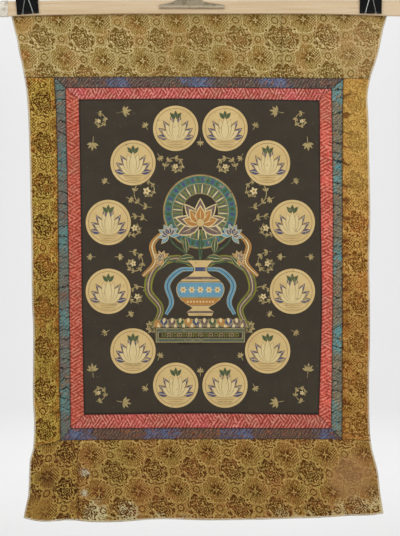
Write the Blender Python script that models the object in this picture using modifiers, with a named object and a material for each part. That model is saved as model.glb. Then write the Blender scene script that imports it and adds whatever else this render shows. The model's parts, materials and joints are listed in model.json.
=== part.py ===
"""A thangka scroll painting on a hanging lath: a painted panel in silk borders and a brocade mount.

Units are metres, +Z is up and the front faces -Y. The origin is the middle of the flat back of the hanging
clamp's handle, where a wall or stand holds the scroll up. Places on the scroll are given as x, from its
middle line, and depth, below the lower edge of the lath.
"""
import math
from collections import namedtuple

import bmesh
import bpy
from mathutils import Vector

NAME = "thangka_scroll_painting"

# Driving sizes
SEAM_GAP = 0.0003          # left between two pieces that are sewn or pressed together
CLOTH_THICK = 0.0012       # painted canvas, and brocade with its backing
LATH_THICK = 0.006
LATH_RISE = 0.0196         # height of the lath at its middle
CLOTH_TUCK = 0.0160        # how far the cloth reaches up behind the lath

# Where things stand: the holding face is y = 0 and everything lies in front of it
STACK_MIDDLE_Y = -0.01055  # middle of lath and cloth together, which every clip squeezes
STACK_THICK = CLOTH_THICK + SEAM_GAP + LATH_THICK
CLOTH_Y = STACK_MIDDLE_Y + STACK_THICK / 2 - CLOTH_THICK / 2
LATH_BACK_Y = CLOTH_Y - CLOTH_THICK / 2 - SEAM_GAP
HOLD_RISE = 0.041          # the origin's height above the lath's lower edge
SCROLL_X = 0.012           # the scroll's middle line, which the clamp misses by this much

# The outline: x of each edge at a depth
Edge = namedtuple("Edge", "depth x")
LEFT_EDGE = (
    Edge(-0.0160, -0.2770), Edge(0.0040, -0.2750), Edge(0.0200, -0.2715), Edge(0.0370, -0.2670),
    Edge(0.0550, -0.2640), Edge(0.0725, -0.2600), Edge(0.0900, -0.2570), Edge(0.1075, -0.2540),
    Edge(0.1425, -0.2510), Edge(0.1775, -0.2497), Edge(0.2475, -0.2482), Edge(0.3175, -0.2467),
    Edge(0.4225, -0.2453), Edge(0.4580, -0.2438), Edge(0.5630, -0.2438), Edge(0.5980, -0.2424),
    Edge(0.6330, -0.2438), Edge(0.6505, -0.2482), Edge(0.6680, -0.2492), Edge(0.7030, -0.2511),
    Edge(0.7207, -0.2550), Edge(0.7360, -0.2580),
)
RIGHT_EDGE = (
    Edge(-0.0160, 0.2755), Edge(0.0025, 0.2730), Edge(0.0200, 0.2680), Edge(0.0370, 0.2643),
    Edge(0.0550, 0.2606), Edge(0.0725, 0.2555), Edge(0.0900, 0.2497), Edge(0.1075, 0.2460),
    Edge(0.1250, 0.2443), Edge(0.1425, 0.2453), Edge(0.1950, 0.2467), Edge(0.3000, 0.2482),
    Edge(0.3700, 0.2470), Edge(0.4750, 0.2482), Edge(0.5300, 0.2467), Edge(0.6050, 0.2480),
    Edge(0.6330, 0.2511), Edge(0.6505, 0.2555), Edge(0.6680, 0.2599), Edge(0.6860, 0.2621),
    Edge(0.7030, 0.2643), Edge(0.7300, 0.2686),
)

# Seams that run down: x at a depth
BROCADE_BLUE_LEFT = (Edge(0.09, -0.2132), Edge(0.154, -0.2095), Edge(0.43, -0.2059), Edge(0.62, -0.2037))
BLUE_RED_LEFT = (Edge(0.10, -0.1966), Edge(0.154, -0.1956), Edge(0.43, -0.1905), Edge(0.61, -0.1886))
RED_PAINTING_LEFT = (Edge(0.12, -0.1768), Edge(0.285, -0.1740), Edge(0.43, -0.1720), Edge(0.59, -0.1689))
RED_PAINTING_RIGHT = (Edge(0.12, 0.1744), Edge(0.285, 0.1759), Edge(0.43, 0.1776), Edge(0.59, 0.1730))
BLUE_RED_RIGHT = (Edge(0.10, 0.1920), Edge(0.285, 0.1941), Edge(0.43, 0.1935), Edge(0.61, 0.1913))
BROCADE_BLUE_RIGHT = (Edge(0.09, 0.2094), Edge(0.154, 0.2081), Edge(0.43, 0.2076), Edge(0.62, 0.2073))
TOP_JOINT = (Edge(-0.02, 0.1180), Edge(0.10, 0.1205))
BOTTOM_JOINT = (Edge(0.60, -0.1780), Edge(0.75, -0.1780))

# Seams that run across, and the hem: depth at an x
Seam = namedtuple("Seam", "x depth")
CLOTH_TOP = (Seam(-0.30, -CLOTH_TUCK), Seam(0.30, -CLOTH_TUCK))
TOP_BROCADE_BLUE = (Seam(-0.26, 0.0922), Seam(-0.21, 0.0914), Seam(0.0, 0.0914), Seam(0.26, 0.0936))
TOP_BLUE_RED = (Seam(-0.20, 0.1067), Seam(0.0, 0.1067), Seam(0.20, 0.1082))
TOP_RED_PAINTING = (Seam(-0.18, 0.1242), Seam(0.0, 0.1235), Seam(0.18, 0.1257))
BOTTOM_RED_PAINTING = (Seam(-0.17, 0.5841), Seam(0.0, 0.5827), Seam(0.18, 0.5841))
BOTTOM_BLUE_RED = (Seam(-0.19, 0.6046), Seam(0.0, 0.6042), Seam(0.20, 0.6046))
BOTTOM_BROCADE_BLUE = (
    Seam(-0.250, 0.6300), Seam(-0.226, 0.6285), Seam(-0.2037, 0.6228), Seam(-0.178, 0.6217),
    Seam(0.0, 0.6206), Seam(0.207, 0.6206), Seam(0.255, 0.6236),
)
HEM = (
    Seam(-0.260, 0.7350), Seam(-0.242, 0.7397), Seam(-0.225, 0.7411), Seam(-0.190, 0.7382),
    Seam(-0.155, 0.7411), Seam(-0.120, 0.7411), Seam(-0.067, 0.7382), Seam(0.056, 0.7382),
    Seam(0.143, 0.7360), Seam(0.213, 0.7325), Seam(0.248, 0.7323), Seam(0.269, 0.7294),
)
SEAMS = (                  # left, right, top and bottom of the outer, middle and inner frame of seams
    (BROCADE_BLUE_LEFT, BROCADE_BLUE_RIGHT, TOP_BROCADE_BLUE, BOTTOM_BROCADE_BLUE),
    (BLUE_RED_LEFT, BLUE_RED_RIGHT, TOP_BLUE_RED, BOTTOM_BLUE_RED),
    (RED_PAINTING_LEFT, RED_PAINTING_RIGHT, TOP_RED_PAINTING, BOTTOM_RED_PAINTING),
)

# How the cloth hangs: each wave swells towards the front by its height, between two depths
Wave = namedtuple("Wave", "height across down start full phase")
WAVES = (
    Wave(0.0011, 0.000, 0.128, 0.010, 0.120, 0.0),   # bars left by rolling the scroll up
    Wave(0.0016, 0.310, 0.900, 0.004, 0.060, 0.8),   # the top panel bellies between the clips
    Wave(0.0022, 0.168, 0.900, 0.560, 0.738, 2.1),   # flutes where the bottom panel flares
    Wave(0.0012, 0.094, 0.620, 0.620, 0.738, 0.4),
)

# The lath, straight but for a slight bow: heights above its nominal lower edge
Station = namedtuple("Station", "x low high")
LATH = (
    Station(-0.3050, -0.0041, 0.0168), Station(-0.2685, -0.0032, 0.0183),
    Station(-0.2380, -0.0022, 0.0187), Station(-0.2040, -0.0015, 0.0194),
    Station(-0.1200, -0.0001, LATH_RISE), Station(0.1460, 0.0001, LATH_RISE),
    Station(0.2130, -0.0009, 0.0195), Station(0.2730, -0.0030, 0.0194),
    Station(0.3050, -0.0036, 0.0193),
)
LATH_EDGE_ROUND = 0.0008
TAPE_FROM = -0.2970
TAPE_TO = -0.2795
TAPE_THICK = 0.0004

# Binder clips, 32 mm wide: x and rise of the middle of the jaw's lowest edge, and the lean in degrees
Clip = namedtuple("Clip", "name x rise lean")
CLIPS = (Clip("clip_left", -0.2500, -0.0012, -4.8), Clip("clip_right", 0.2480, -0.0006, 0.6))
CLIP_WIDTH = 0.032
CLIP_SHEET = 0.0005
CLIP_HEIGHT = 0.0228
CLIP_SPINE_HALF = 0.00675
CLIP_CORNER = 0.0012
CLIP_NOTCH = (0.0056, 0.0090)  # the rolled lips are cut away between these, where the wires leave them
CLIP_ROLL = 0.00135        # radius of a rolled lip, to the middle of its sheet
WIRE_RADIUS = 0.0007
WIRE_STUB_END = 0.0150
Bend = namedtuple("Bend", "x rise")
WIRE_HALF = (              # one half of a clip's wire handle, from its stub to the middle of the loop
    Bend(WIRE_STUB_END, 0.0), Bend(0.0085, 0.0), Bend(0.0074, 0.0004), Bend(0.0069, 0.0014),
    Bend(0.0063, 0.0050), Bend(0.0032, 0.0165), Bend(0.0029, 0.0190), Bend(0.0034, 0.0215),
    Bend(0.0054, 0.0270), Bend(0.0055, 0.0298), Bend(0.0042, 0.0322), Bend(0.0020, 0.0334),
)

# The hanging clamp: two stamped plates with rolled jaws, held together by a bent leaf spring
Level = namedtuple("Level", "rise out half")
CLAMP_PLATE = 0.0010
CLAMP_JAW_RISE = 0.0069
CLAMP_ROLL = 0.0011
CLAMP_SIDE = (             # out is from the middle of the stack to the middle of the plate
    Level(0.0080, 0.00455, 0.0475), Level(0.0120, 0.00455, 0.0475), Level(0.0131, 0.00470, 0.0420),
    Level(0.0152, 0.00520, 0.0285), Level(0.0170, 0.00580, 0.0200), Level(0.0195, 0.00660, 0.0175),
    Level(0.0240, 0.00820, 0.0175), Level(0.0290, 0.00960, 0.0175), Level(0.0320, 0.01005, 0.0175),
    Level(0.0370, 0.01005, 0.0175), Level(0.0460, 0.01005, 0.0175), Level(0.0495, 0.01005, 0.0160),
    Level(0.0510, 0.01005, 0.0130),
)
FRONT_NECK_SHIFT = -0.0050  # the front handle stands this far off the middle of its jaw
SPRING_THICK = 0.0008
SPRING_HALF = 0.0120
SPRING_LEGS = (Level(0.0172, 0.00455, SPRING_HALF), Level(0.0195, 0.00540, SPRING_HALF),
               Level(0.0240, 0.00695, SPRING_HALF))
SPRING_TOP_RISE = 0.0245


def new_collection():
    """Clear the scene and give back an empty collection for the scroll."""
    for thing in list(bpy.data.objects):
        bpy.data.objects.remove(thing)
    collection = bpy.data.collections.new(NAME)
    bpy.context.scene.collection.children.link(collection)
    return collection


PARTS = new_collection()


def finish(name, colour, roughness, metallic=0.0):
    """A plain material with the part's own colour."""
    material = bpy.data.materials.new(name)
    material.use_nodes = True
    shader = material.node_tree.nodes["Principled BSDF"]
    shader.inputs["Base Color"].default_value = (*colour, 1.0)
    shader.inputs["Roughness"].default_value = roughness
    shader.inputs["Metallic"].default_value = metallic
    return material


def add(name, data, material, parent=None):
    """Put a mesh or a curve into the scene as one named part."""
    part = bpy.data.objects.new(name, data)
    data.materials.append(material)
    PARTS.objects.link(part)
    part.parent = parent
    return part


def mesh_part(name, shape, material, parent=None):
    """Turn a finished bmesh into a smooth-shaded part."""
    mesh = bpy.data.meshes.new(name)
    shape.to_mesh(mesh)
    shape.free()
    mesh.shade_smooth()
    mesh.set_sharp_from_angle(angle=math.radians(40))
    return add(name, mesh, material, parent)


def thicken(part, thickness, offset=0.0):
    """Give an open sheet its thickness."""
    solidify = part.modifiers.new("thickness", "SOLIDIFY")
    solidify.thickness = thickness
    solidify.offset = offset
    return solidify


def line(rows):
    """A smooth line through a table, from its first column to its second, held level past its ends."""
    def slope(index):
        before = rows[max(index - 1, 0)]
        after = rows[min(index + 1, len(rows) - 1)]
        return (after[1] - before[1]) / (after[0] - before[0])

    def value(t):
        if t <= rows[0][0]:
            return rows[0][1]
        if t >= rows[-1][0]:
            return rows[-1][1]
        index = max(i for i, row in enumerate(rows) if row[0] <= t)
        start, end = rows[index], rows[index + 1]
        span = end[0] - start[0]
        s = (t - start[0]) / span
        return ((1 + 2 * s) * (1 - s) ** 2 * start[1] + s * (1 - s) ** 2 * span * slope(index)
                + s * s * (3 - 2 * s) * end[1] + s * s * (s - 1) * span * slope(index + 1))

    return value


def straight(start, end):
    """A straight line between two corners, read at the first number of each."""
    def value(t):
        share = (t - start[0]) / (end[0] - start[0])
        return start[1] + (end[1] - start[1]) * share

    return value


def moved(edge, by):
    """The same line, set over by a distance."""
    return lambda t: edge(t) + by


SETTLE_PASSES = 12  # enough for a point to settle between its four seams


def meet(down, across):
    """The corner (x, depth) where a seam that runs down meets one that runs across."""
    x = 0.0
    for _ in range(SETTLE_PASSES):
        x = down(across(x))
    return x, across(x)


def flip(corner):
    """A corner as (depth, x)."""
    return corner[1], corner[0]


def ramp(value, start, full):
    """Nothing before start, one after full, and smooth between."""
    share = min(max((value - start) / (full - start), 0.0), 1.0)
    return share * share * (3 - 2 * share)


def swell(x, depth):
    """How far the hanging cloth stands forward of flat."""
    total = 0.0
    for wave in WAVES:
        turns = depth / wave.down
        if wave.across:
            turns += x / wave.across
        total += wave.height * ramp(depth, wave.start, wave.full) * math.sin(math.tau * turns + wave.phase)
    return total


def hung(x, depth):
    """The place of a spot on the cloth's middle surface."""
    return Vector((SCROLL_X + x, CLOTH_Y - swell(x, depth), -HOLD_RISE - depth))


def panel(name, sides, columns, rows, material):
    """One cut piece of cloth: a grid between its left, right, top and bottom lines, hung and thickened."""
    left, right, top, bottom = sides
    shape = bmesh.new()
    bmesh.ops.create_grid(shape, x_segments=columns, y_segments=rows, size=0.5)
    for vert in shape.verts:
        u = vert.co.x + 0.5
        v = 0.5 - vert.co.y
        x = 0.0
        depth = 0.5 * (top(0.0) + bottom(0.0))
        for _ in range(SETTLE_PASSES):
            x = left(depth) * (1 - u) + right(depth) * u
            depth = top(x) * (1 - v) + bottom(x) * v
        vert.co = hung(x, depth)
    cloth = mesh_part(name, shape, material)
    thicken(cloth, CLOTH_THICK)
    return cloth


def inside(left, right, top, bottom):
    """Four lines brought in by half a seam gap each."""
    half = SEAM_GAP / 2
    return moved(left, half), moved(right, -half), moved(top, half), moved(bottom, -half)


def border(name, outer, inner, material, along, up, across):
    """A mitred frame of four strips between two sets of left, right, top and bottom seams."""
    left, right, top, bottom = range(4)
    corners = {}
    for side in (left, right):
        for end in (top, bottom):
            corners[side, end] = (meet(outer[side], outer[end]), meet(inner[side], inner[end]))
    down_mitre = {key: straight(flip(pair[0]), flip(pair[1])) for key, pair in corners.items()}
    across_mitre = {key: straight(*pair) for key, pair in corners.items()}
    for end, label, edges in ((top, "top", (outer[top], inner[top])),
                              (bottom, "bottom", (inner[bottom], outer[bottom]))):
        strip = inside(down_mitre[left, end], down_mitre[right, end], *edges)
        panel(f"{name}_{label}", strip, along, across, material)
    for side, label, edges in ((left, "left", (outer[left], inner[left])),
                               (right, "right", (inner[right], outer[right]))):
        strip = inside(*edges, across_mitre[side, top], across_mitre[side, bottom])
        panel(f"{name}_{label}", strip, across, up, material)


def build_cloth():
    """The painting, its two silk borders and the six pieces of the brocade mount."""
    gold = finish("top_brocade", (0.353, 0.242, 0.091), 0.62)
    golden = finish("side_brocade", (0.330, 0.190, 0.050), 0.62)
    brown = finish("bottom_brocade", (0.262, 0.141, 0.045), 0.62)
    blue = finish("blue_silk", (0.105, 0.100, 0.120), 0.55)
    red = finish("red_silk", (0.429, 0.119, 0.095), 0.55)
    painted = finish("painted_canvas", (0.048, 0.040, 0.032), 0.7)

    left_edge, right_edge, hem = line(LEFT_EDGE), line(RIGHT_EDGE), line(HEM)
    outer, middle, inner = (tuple(line(table) for table in tables) for tables in SEAMS)
    seam_left, seam_right, seam_top, seam_bottom = outer
    cloth_top, top_joint, bottom_joint = line(CLOTH_TOP), line(TOP_JOINT), line(BOTTOM_JOINT)

    panel("painting", inside(*inner), 14, 20, painted)
    border("red", middle, inner, red, along=16, up=22, across=1)
    border("blue", outer, middle, blue, along=24, up=24, across=1)
    panel("brocade_top", inside(left_edge, top_joint, cloth_top, seam_top), 18, 6, gold)
    panel("brocade_top_right", inside(top_joint, right_edge, cloth_top, seam_top), 7, 6, gold)
    panel("brocade_left", inside(left_edge, seam_left, seam_top, seam_bottom), 3, 26, golden)
    panel("brocade_right", inside(seam_right, right_edge, seam_top, seam_bottom), 3, 26, golden)
    panel("brocade_bottom_left", inside(left_edge, bottom_joint, seam_bottom, hem), 5, 7, brown)
    panel("brocade_bottom", inside(bottom_joint, right_edge, seam_bottom, hem), 26, 7, brown)


def row_at(value, rows):
    """The table row that an even grid's coordinate, from -0.5 to 0.5, stands for."""
    return rows[round((value + 0.5) * (len(rows) - 1))]


def lath_bar():
    """The wooden lath: a long box cut at its stations and bent by their heights."""
    shape = bmesh.new()
    bmesh.ops.create_cube(shape, size=1.0)
    for index in range(1, len(LATH) - 1):
        cut = index / (len(LATH) - 1) - 0.5
        bmesh.ops.bisect_plane(shape, geom=shape.verts[:] + shape.edges[:] + shape.faces[:],
                               plane_co=(cut, 0, 0), plane_no=(1, 0, 0))
    for vert in shape.verts:
        station = row_at(vert.co.x, LATH)
        rise = station.high if vert.co.z > 0 else station.low
        y = LATH_BACK_Y if vert.co.y > 0 else LATH_BACK_Y - LATH_THICK
        vert.co = (SCROLL_X + station.x, y, rise - HOLD_RISE)
    bar = mesh_part("lath", shape, finish("pale_wood", (0.640, 0.500, 0.330), 0.6))
    rounding = bar.modifiers.new("edges", "BEVEL")
    rounding.width = LATH_EDGE_ROUND
    rounding.segments = 2
    rounding.limit_method = "ANGLE"
    return bar


def lath_tape():
    """The tape wound round the left end of the lath: an open box sleeve, thickened outwards."""
    lath_low = line([(row.x, row.low) for row in LATH])
    lath_high = line([(row.x, row.high) for row in LATH])
    shape = bmesh.new()
    bmesh.ops.create_cube(shape, size=1.0)
    ends = [face for face in shape.faces if abs(face.normal.x) > 0.5]
    bmesh.ops.delete(shape, geom=ends, context="FACES_ONLY")
    for vert in shape.verts:
        x = TAPE_TO if vert.co.x > 0 else TAPE_FROM
        rise = lath_high(x) + SEAM_GAP if vert.co.z > 0 else lath_low(x) - SEAM_GAP
        y = LATH_BACK_Y + SEAM_GAP if vert.co.y > 0 else LATH_BACK_Y - LATH_THICK - SEAM_GAP
        vert.co = (SCROLL_X + x, y, rise - HOLD_RISE)
    sleeve = mesh_part("lath_tape", shape, finish("paper_tape", (0.680, 0.570, 0.400), 0.5))
    thicken(sleeve, TAPE_THICK, offset=1.0)
    return sleeve


Row = namedtuple("Row", "y z left right")


def bent_plate(name, rows, stations, thickness, material, parent=None, notches=(), notch_rows=()):
    """A sheet bent along X: a grid laid through the rows, cut out at the notches, and thickened evenly."""
    shape = bmesh.new()
    bmesh.ops.create_grid(shape, x_segments=len(stations) - 1, y_segments=len(rows) - 1, size=0.5)
    cut = []
    for face in shape.faces:
        middle = face.calc_center_median()
        number = int((middle.y + 0.5) * (len(rows) - 1))
        column = int((middle.x + 0.5) * (len(stations) - 1))
        if number in notch_rows and column in notches:
            cut.append(face)
    for vert in shape.verts:
        row = row_at(vert.co.y, rows)
        share = (row_at(vert.co.x, stations) + 1) / 2
        vert.co = (row.left + (row.right - row.left) * share, row.y, row.z)
    bmesh.ops.delete(shape, geom=cut, context="FACES")
    bmesh.ops.recalc_face_normals(shape, faces=shape.faces[:])
    plate = mesh_part(name, shape, material, parent)
    thicken(plate, thickness)
    return plate


def arc(centre, radius, start, end, steps):
    """Points (y, z) round a centre, between two angles in degrees."""
    points = []
    for step in range(steps + 1):
        angle = math.radians(start + (end - start) * step / steps)
        points.append((centre[0] + radius * math.cos(angle), centre[1] + radius * math.sin(angle)))
    return points


ROLL_STEPS = 7
CLIP_JAW_Y = STACK_THICK / 2 + SEAM_GAP + CLIP_SHEET / 2
CLIP_ROLL_Y = CLIP_JAW_Y + CLIP_ROLL
CLIP_ROLL_Z = CLIP_ROLL + CLIP_SHEET / 2
CLIP_SLOPE = (CLIP_SPINE_HALF - CLIP_JAW_Y) / (CLIP_HEIGHT - CLIP_ROLL_Z)


def clip_body(clip, steel, parent):
    """The folded spring-steel body: rolled lip, wall, spine, wall and rolled lip, in one sheet."""
    half = arc((CLIP_ROLL_Y, CLIP_ROLL_Z), CLIP_ROLL, 50, -180, ROLL_STEPS)
    corner = (CLIP_SPINE_HALF - CLIP_CORNER, CLIP_HEIGHT - CLIP_CORNER)
    half += arc(corner, CLIP_CORNER, 0, 90, 3)
    profile = [(-y, z) for y, z in half] + [(y, z) for y, z in reversed(half)]
    rows = [Row(y, z, -CLIP_WIDTH / 2, CLIP_WIDTH / 2) for y, z in profile]
    inner, outer = (2 * end / CLIP_WIDTH for end in CLIP_NOTCH)
    last = len(rows) - 2
    rolled = [*range(ROLL_STEPS), *range(last - ROLL_STEPS + 1, last + 1)]
    stations = (-1.0, -outer, -inner, 0.0, inner, outer, 1.0)
    bent_plate(f"{clip.name}_body", rows, stations, CLIP_SHEET, steel, parent, (1, 4), rolled)


def clip_wire(clip, label, side, steel, parent):
    """One wire handle, turned up against its wall: two stubs in the rolled lip, two legs and a loop."""
    bends = [*WIRE_HALF, *(Bend(-bend.x, bend.rise) for bend in reversed(WIRE_HALF))]
    data = bpy.data.curves.new(f"{clip.name}_wire_{label}", "CURVE")
    data.dimensions = "3D"
    data.bevel_depth = WIRE_RADIUS
    data.bevel_resolution = 2
    data.use_fill_caps = True
    spline = data.splines.new("POLY")
    spline.points.add(len(bends) - 1)
    for point, bend in zip(spline.points, bends):
        y = side * (CLIP_ROLL_Y + CLIP_SLOPE * bend.rise)
        point.co = (bend.x, y, CLIP_ROLL_Z + bend.rise, 1.0)
    add(data.name, data, steel, parent)


def build_clips():
    """The two binder clips that nip the cloth's upper corners to the lath."""
    black = finish("black_spring_steel", (0.012, 0.012, 0.014), 0.4)
    bright = finish("nickelled_wire", (0.45, 0.46, 0.46), 0.3, metallic=1.0)
    for clip in CLIPS:
        place = bpy.data.objects.new(f"{clip.name}_place", None)
        PARTS.objects.link(place)
        place.location = (SCROLL_X + clip.x, STACK_MIDDLE_Y, clip.rise - HOLD_RISE)
        place.rotation_euler.y = math.radians(clip.lean)
        clip_body(clip, black, place)
        clip_wire(clip, "front", -1, bright, place)
        clip_wire(clip, "back", 1, bright, place)


def clamp_plate(name, side, neck_shift, steel):
    """One stamped plate of the clamp: rolled jaw, sloping shoulders and a straight handle."""
    jaw = CLAMP_SIDE[0]
    roll_centre = (jaw.out + CLAMP_ROLL, CLAMP_JAW_RISE + CLAMP_ROLL + CLAMP_PLATE / 2)
    rows = []
    for out, rise in arc(roll_centre, CLAMP_ROLL, 35, -150, ROLL_STEPS):
        rows.append(Row(STACK_MIDDLE_Y + side * out, rise - HOLD_RISE, -jaw.half, jaw.half))
    for level in CLAMP_SIDE[1:]:
        shift = neck_shift * ramp(-level.half, -jaw.half, -CLAMP_SIDE[5].half)
        rows.append(Row(STACK_MIDDLE_Y + side * level.out, level.rise - HOLD_RISE,
                        shift - level.half, shift + level.half))
    stations = [step / 4 - 1 for step in range(9)]
    bent_plate(name, rows, stations, CLAMP_PLATE, steel)


def clamp_spring(steel):
    """The leaf spring bent over the top of the lath, between the two plates."""
    side = [(leg.out, leg.rise) for leg in SPRING_LEGS]
    top = arc((0.0, SPRING_TOP_RISE), SPRING_LEGS[-1].out, 0, 180, 8)
    profile = side + top + [(-out, rise) for out, rise in reversed(side)]
    rows = [Row(STACK_MIDDLE_Y + out, rise - HOLD_RISE, -SPRING_HALF, SPRING_HALF) for out, rise in profile]
    bent_plate("clamp_spring", rows, (-1.0, 0.0, 1.0), SPRING_THICK, steel)


def build_clamp():
    """The wide steel clamp at the middle of the lath, which carries the whole scroll."""
    steel = finish("clamp_steel", (0.46, 0.44, 0.38), 0.35, metallic=1.0)
    clamp_plate("clamp_back", 1, 0.0, steel)
    clamp_plate("clamp_front", -1, FRONT_NECK_SHIFT, steel)
    clamp_spring(steel)


build_cloth()
lath_bar()
lath_tape()
build_clips()
build_clamp()
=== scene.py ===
# %% [markdown]
# # A thangka on its lath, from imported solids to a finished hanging
#
# A thangka is a painting on cotton that is sewn into silk borders and a brocade mount, so that it can be
# rolled up and carried. Here the solids of one already stand in their frame, at their real size. What
# follows gives every piece its real surface. The cloth is laid again on the same lines with a finer grid,
# because folds, puckers and seams are shapes and belong in the mesh. Weave, paint and wear are only
# colour and a little relief, so they are nodes.

import ast
import json
import math
from collections import namedtuple

import bmesh
import bpy
import numpy as np
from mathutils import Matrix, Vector
from mathutils.geometry import delaunay_2d_cdt


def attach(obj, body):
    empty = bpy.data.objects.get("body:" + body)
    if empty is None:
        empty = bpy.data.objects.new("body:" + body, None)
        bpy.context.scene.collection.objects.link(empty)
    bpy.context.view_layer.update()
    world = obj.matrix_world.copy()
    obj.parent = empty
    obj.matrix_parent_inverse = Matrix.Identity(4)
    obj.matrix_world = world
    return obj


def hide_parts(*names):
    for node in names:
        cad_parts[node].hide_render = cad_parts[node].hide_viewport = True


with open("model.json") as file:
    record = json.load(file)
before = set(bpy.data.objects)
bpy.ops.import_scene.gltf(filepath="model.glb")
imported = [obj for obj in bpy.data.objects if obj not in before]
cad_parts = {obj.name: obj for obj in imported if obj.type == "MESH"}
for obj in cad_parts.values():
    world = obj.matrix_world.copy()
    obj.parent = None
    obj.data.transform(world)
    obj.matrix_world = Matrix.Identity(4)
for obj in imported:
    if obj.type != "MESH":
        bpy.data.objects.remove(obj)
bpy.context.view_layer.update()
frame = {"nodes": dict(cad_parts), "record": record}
SLOTS = {node["node"]: node["material_slot"] for node in frame["record"]["subparts"]}

# %% [markdown]
# ## Where the cloth hangs
#
# The photograph looks straight at the scroll, so one pixel is the same length everywhere on the cloth.
# Every place below is an x from the scroll's middle line and a depth below the lower edge of the lath,
# as in the solids. The lines of the outline and of the seams are short tables in mm, with a smooth line
# laid through each. The same lines cut two pieces that meet, so a seam can't open by accident.

# %% Name the driving sizes
MM = 0.001
PIXEL = 1.46 * MM          # length of cloth that one pixel of the photograph shows
PHOTO_HEIGHT = 536         # pixels from top to bottom
LATH_EDGE_PIXEL = 14.4     # the row where the lath's lower edge stands
CLOTH_THICK = 1.2 * MM
CLOTH_TUCK = 16            # mm that the cloth reaches up behind the lath
CLOTH_Y = -7.4 * MM
HOLD_RISE = 41.0 * MM      # the origin's height above the lath's lower edge
SCROLL_X = 12.0 * MM       # the scroll's middle line
print("the photograph is", round(PHOTO_HEIGHT * PIXEL, 3), "m high where the cloth hangs")

# %% Lay the lines of the outline and the seams
LEFT_EDGE = (
    (-16, -277), (4, -275), (20, -271.5), (37, -267), (55, -264), (72.5, -260), (90, -257), (107.5, -254),
    (142.5, -251), (177.5, -249.7), (247.5, -248.2), (317.5, -246.7), (422.5, -245.3), (458, -243.8),
    (563, -243.8), (598, -242.4), (633, -243.8), (650.5, -248.2), (668, -249.2), (703, -251.1),
    (720.7, -255), (736, -258),
)
RIGHT_EDGE = (
    (-16, 275.5), (2.5, 273), (20, 268), (37, 264.3), (55, 260.6), (72.5, 255.5), (90, 249.7), (107.5, 246),
    (125, 244.3), (142.5, 245.3), (195, 246.7), (300, 248.2), (370, 247), (475, 248.2), (530, 246.7),
    (605, 248), (633, 251.1), (650.5, 255.5), (668, 259.9), (686, 262.1), (703, 264.3), (730, 268.6),
)
CLOTH_TOP = ((-300, -CLOTH_TUCK), (300, -CLOTH_TUCK))
HEM = (
    (-260, 735), (-242, 739.7), (-225, 741.1), (-190, 738.2), (-155, 741.1), (-120, 741.1), (-67, 738.2),
    (56, 738.2), (143, 736), (213, 732.5), (248, 732.3), (269, 729.4),
)
TOP_JOINT = ((-20, 118), (100, 120.5))
BOTTOM_JOINT = ((600, -178), (750, -178))
SEAMS = (  # left, right, top and bottom of the outer, the middle and the inner frame of seams
    (
        ((90, -213.2), (154, -209.5), (430, -205.9), (620, -203.7)),
        ((90, 209.4), (154, 208.1), (430, 207.6), (620, 207.3)),
        ((-260, 92.2), (-210, 91.4), (0, 91.4), (260, 93.6)),
        ((-250, 630), (-226, 628.5), (-203.7, 622.8), (-178, 621.7), (0, 620.6), (207, 620.6), (255, 623.6)),
    ),
    (
        ((100, -196.6), (154, -195.6), (430, -190.5), (610, -188.6)),
        ((100, 192), (285, 194.1), (430, 193.5), (610, 191.3)),
        ((-200, 106.7), (0, 106.7), (200, 108.2)),
        ((-190, 604.6), (0, 604.2), (200, 604.6)),
    ),
    (
        ((120, -176.8), (285, -174), (430, -172), (590, -168.9)),
        ((120, 174.4), (285, 175.9), (430, 177.6), (590, 173)),
        ((-180, 124.2), (0, 123.5), (180, 125.7)),
        ((-170, 584.1), (0, 582.7), (180, 584.1)),
    ),
)


def line(rows, unit=MM):
    """A smooth line through a table, held level past its ends, for one number or an array of them."""
    at, to = np.array(rows).T * unit
    after, before = np.append(at[1:], at[-1]), np.append(at[0], at[:-1])
    slope = (np.append(to[1:], to[-1]) - np.append(to[0], to[:-1])) / (after - before)

    def value(t):
        t = np.clip(t, at[0], at[-1])
        i = np.clip(np.searchsorted(at, t, side="right") - 1, 0, len(at) - 2)
        span = at[i + 1] - at[i]
        s = (t - at[i]) / span
        return ((1 + 2 * s) * (1 - s) ** 2 * to[i] + s * (1 - s) ** 2 * span * slope[i]
                + s * s * (3 - 2 * s) * to[i + 1] + s * s * (s - 1) * span * slope[i + 1])

    return value


OUTER, MIDDLE, INNER = (tuple(line(table) for table in tables) for tables in SEAMS)
left_edge, right_edge, cloth_top, hem = (line(rows) for rows in (LEFT_EDGE, RIGHT_EDGE, CLOTH_TOP, HEM))
top_joint, bottom_joint = line(TOP_JOINT), line(BOTTOM_JOINT)
print("the hem's middle hangs", round(float(hem(0.0)), 3), "m below the lath")
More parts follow.
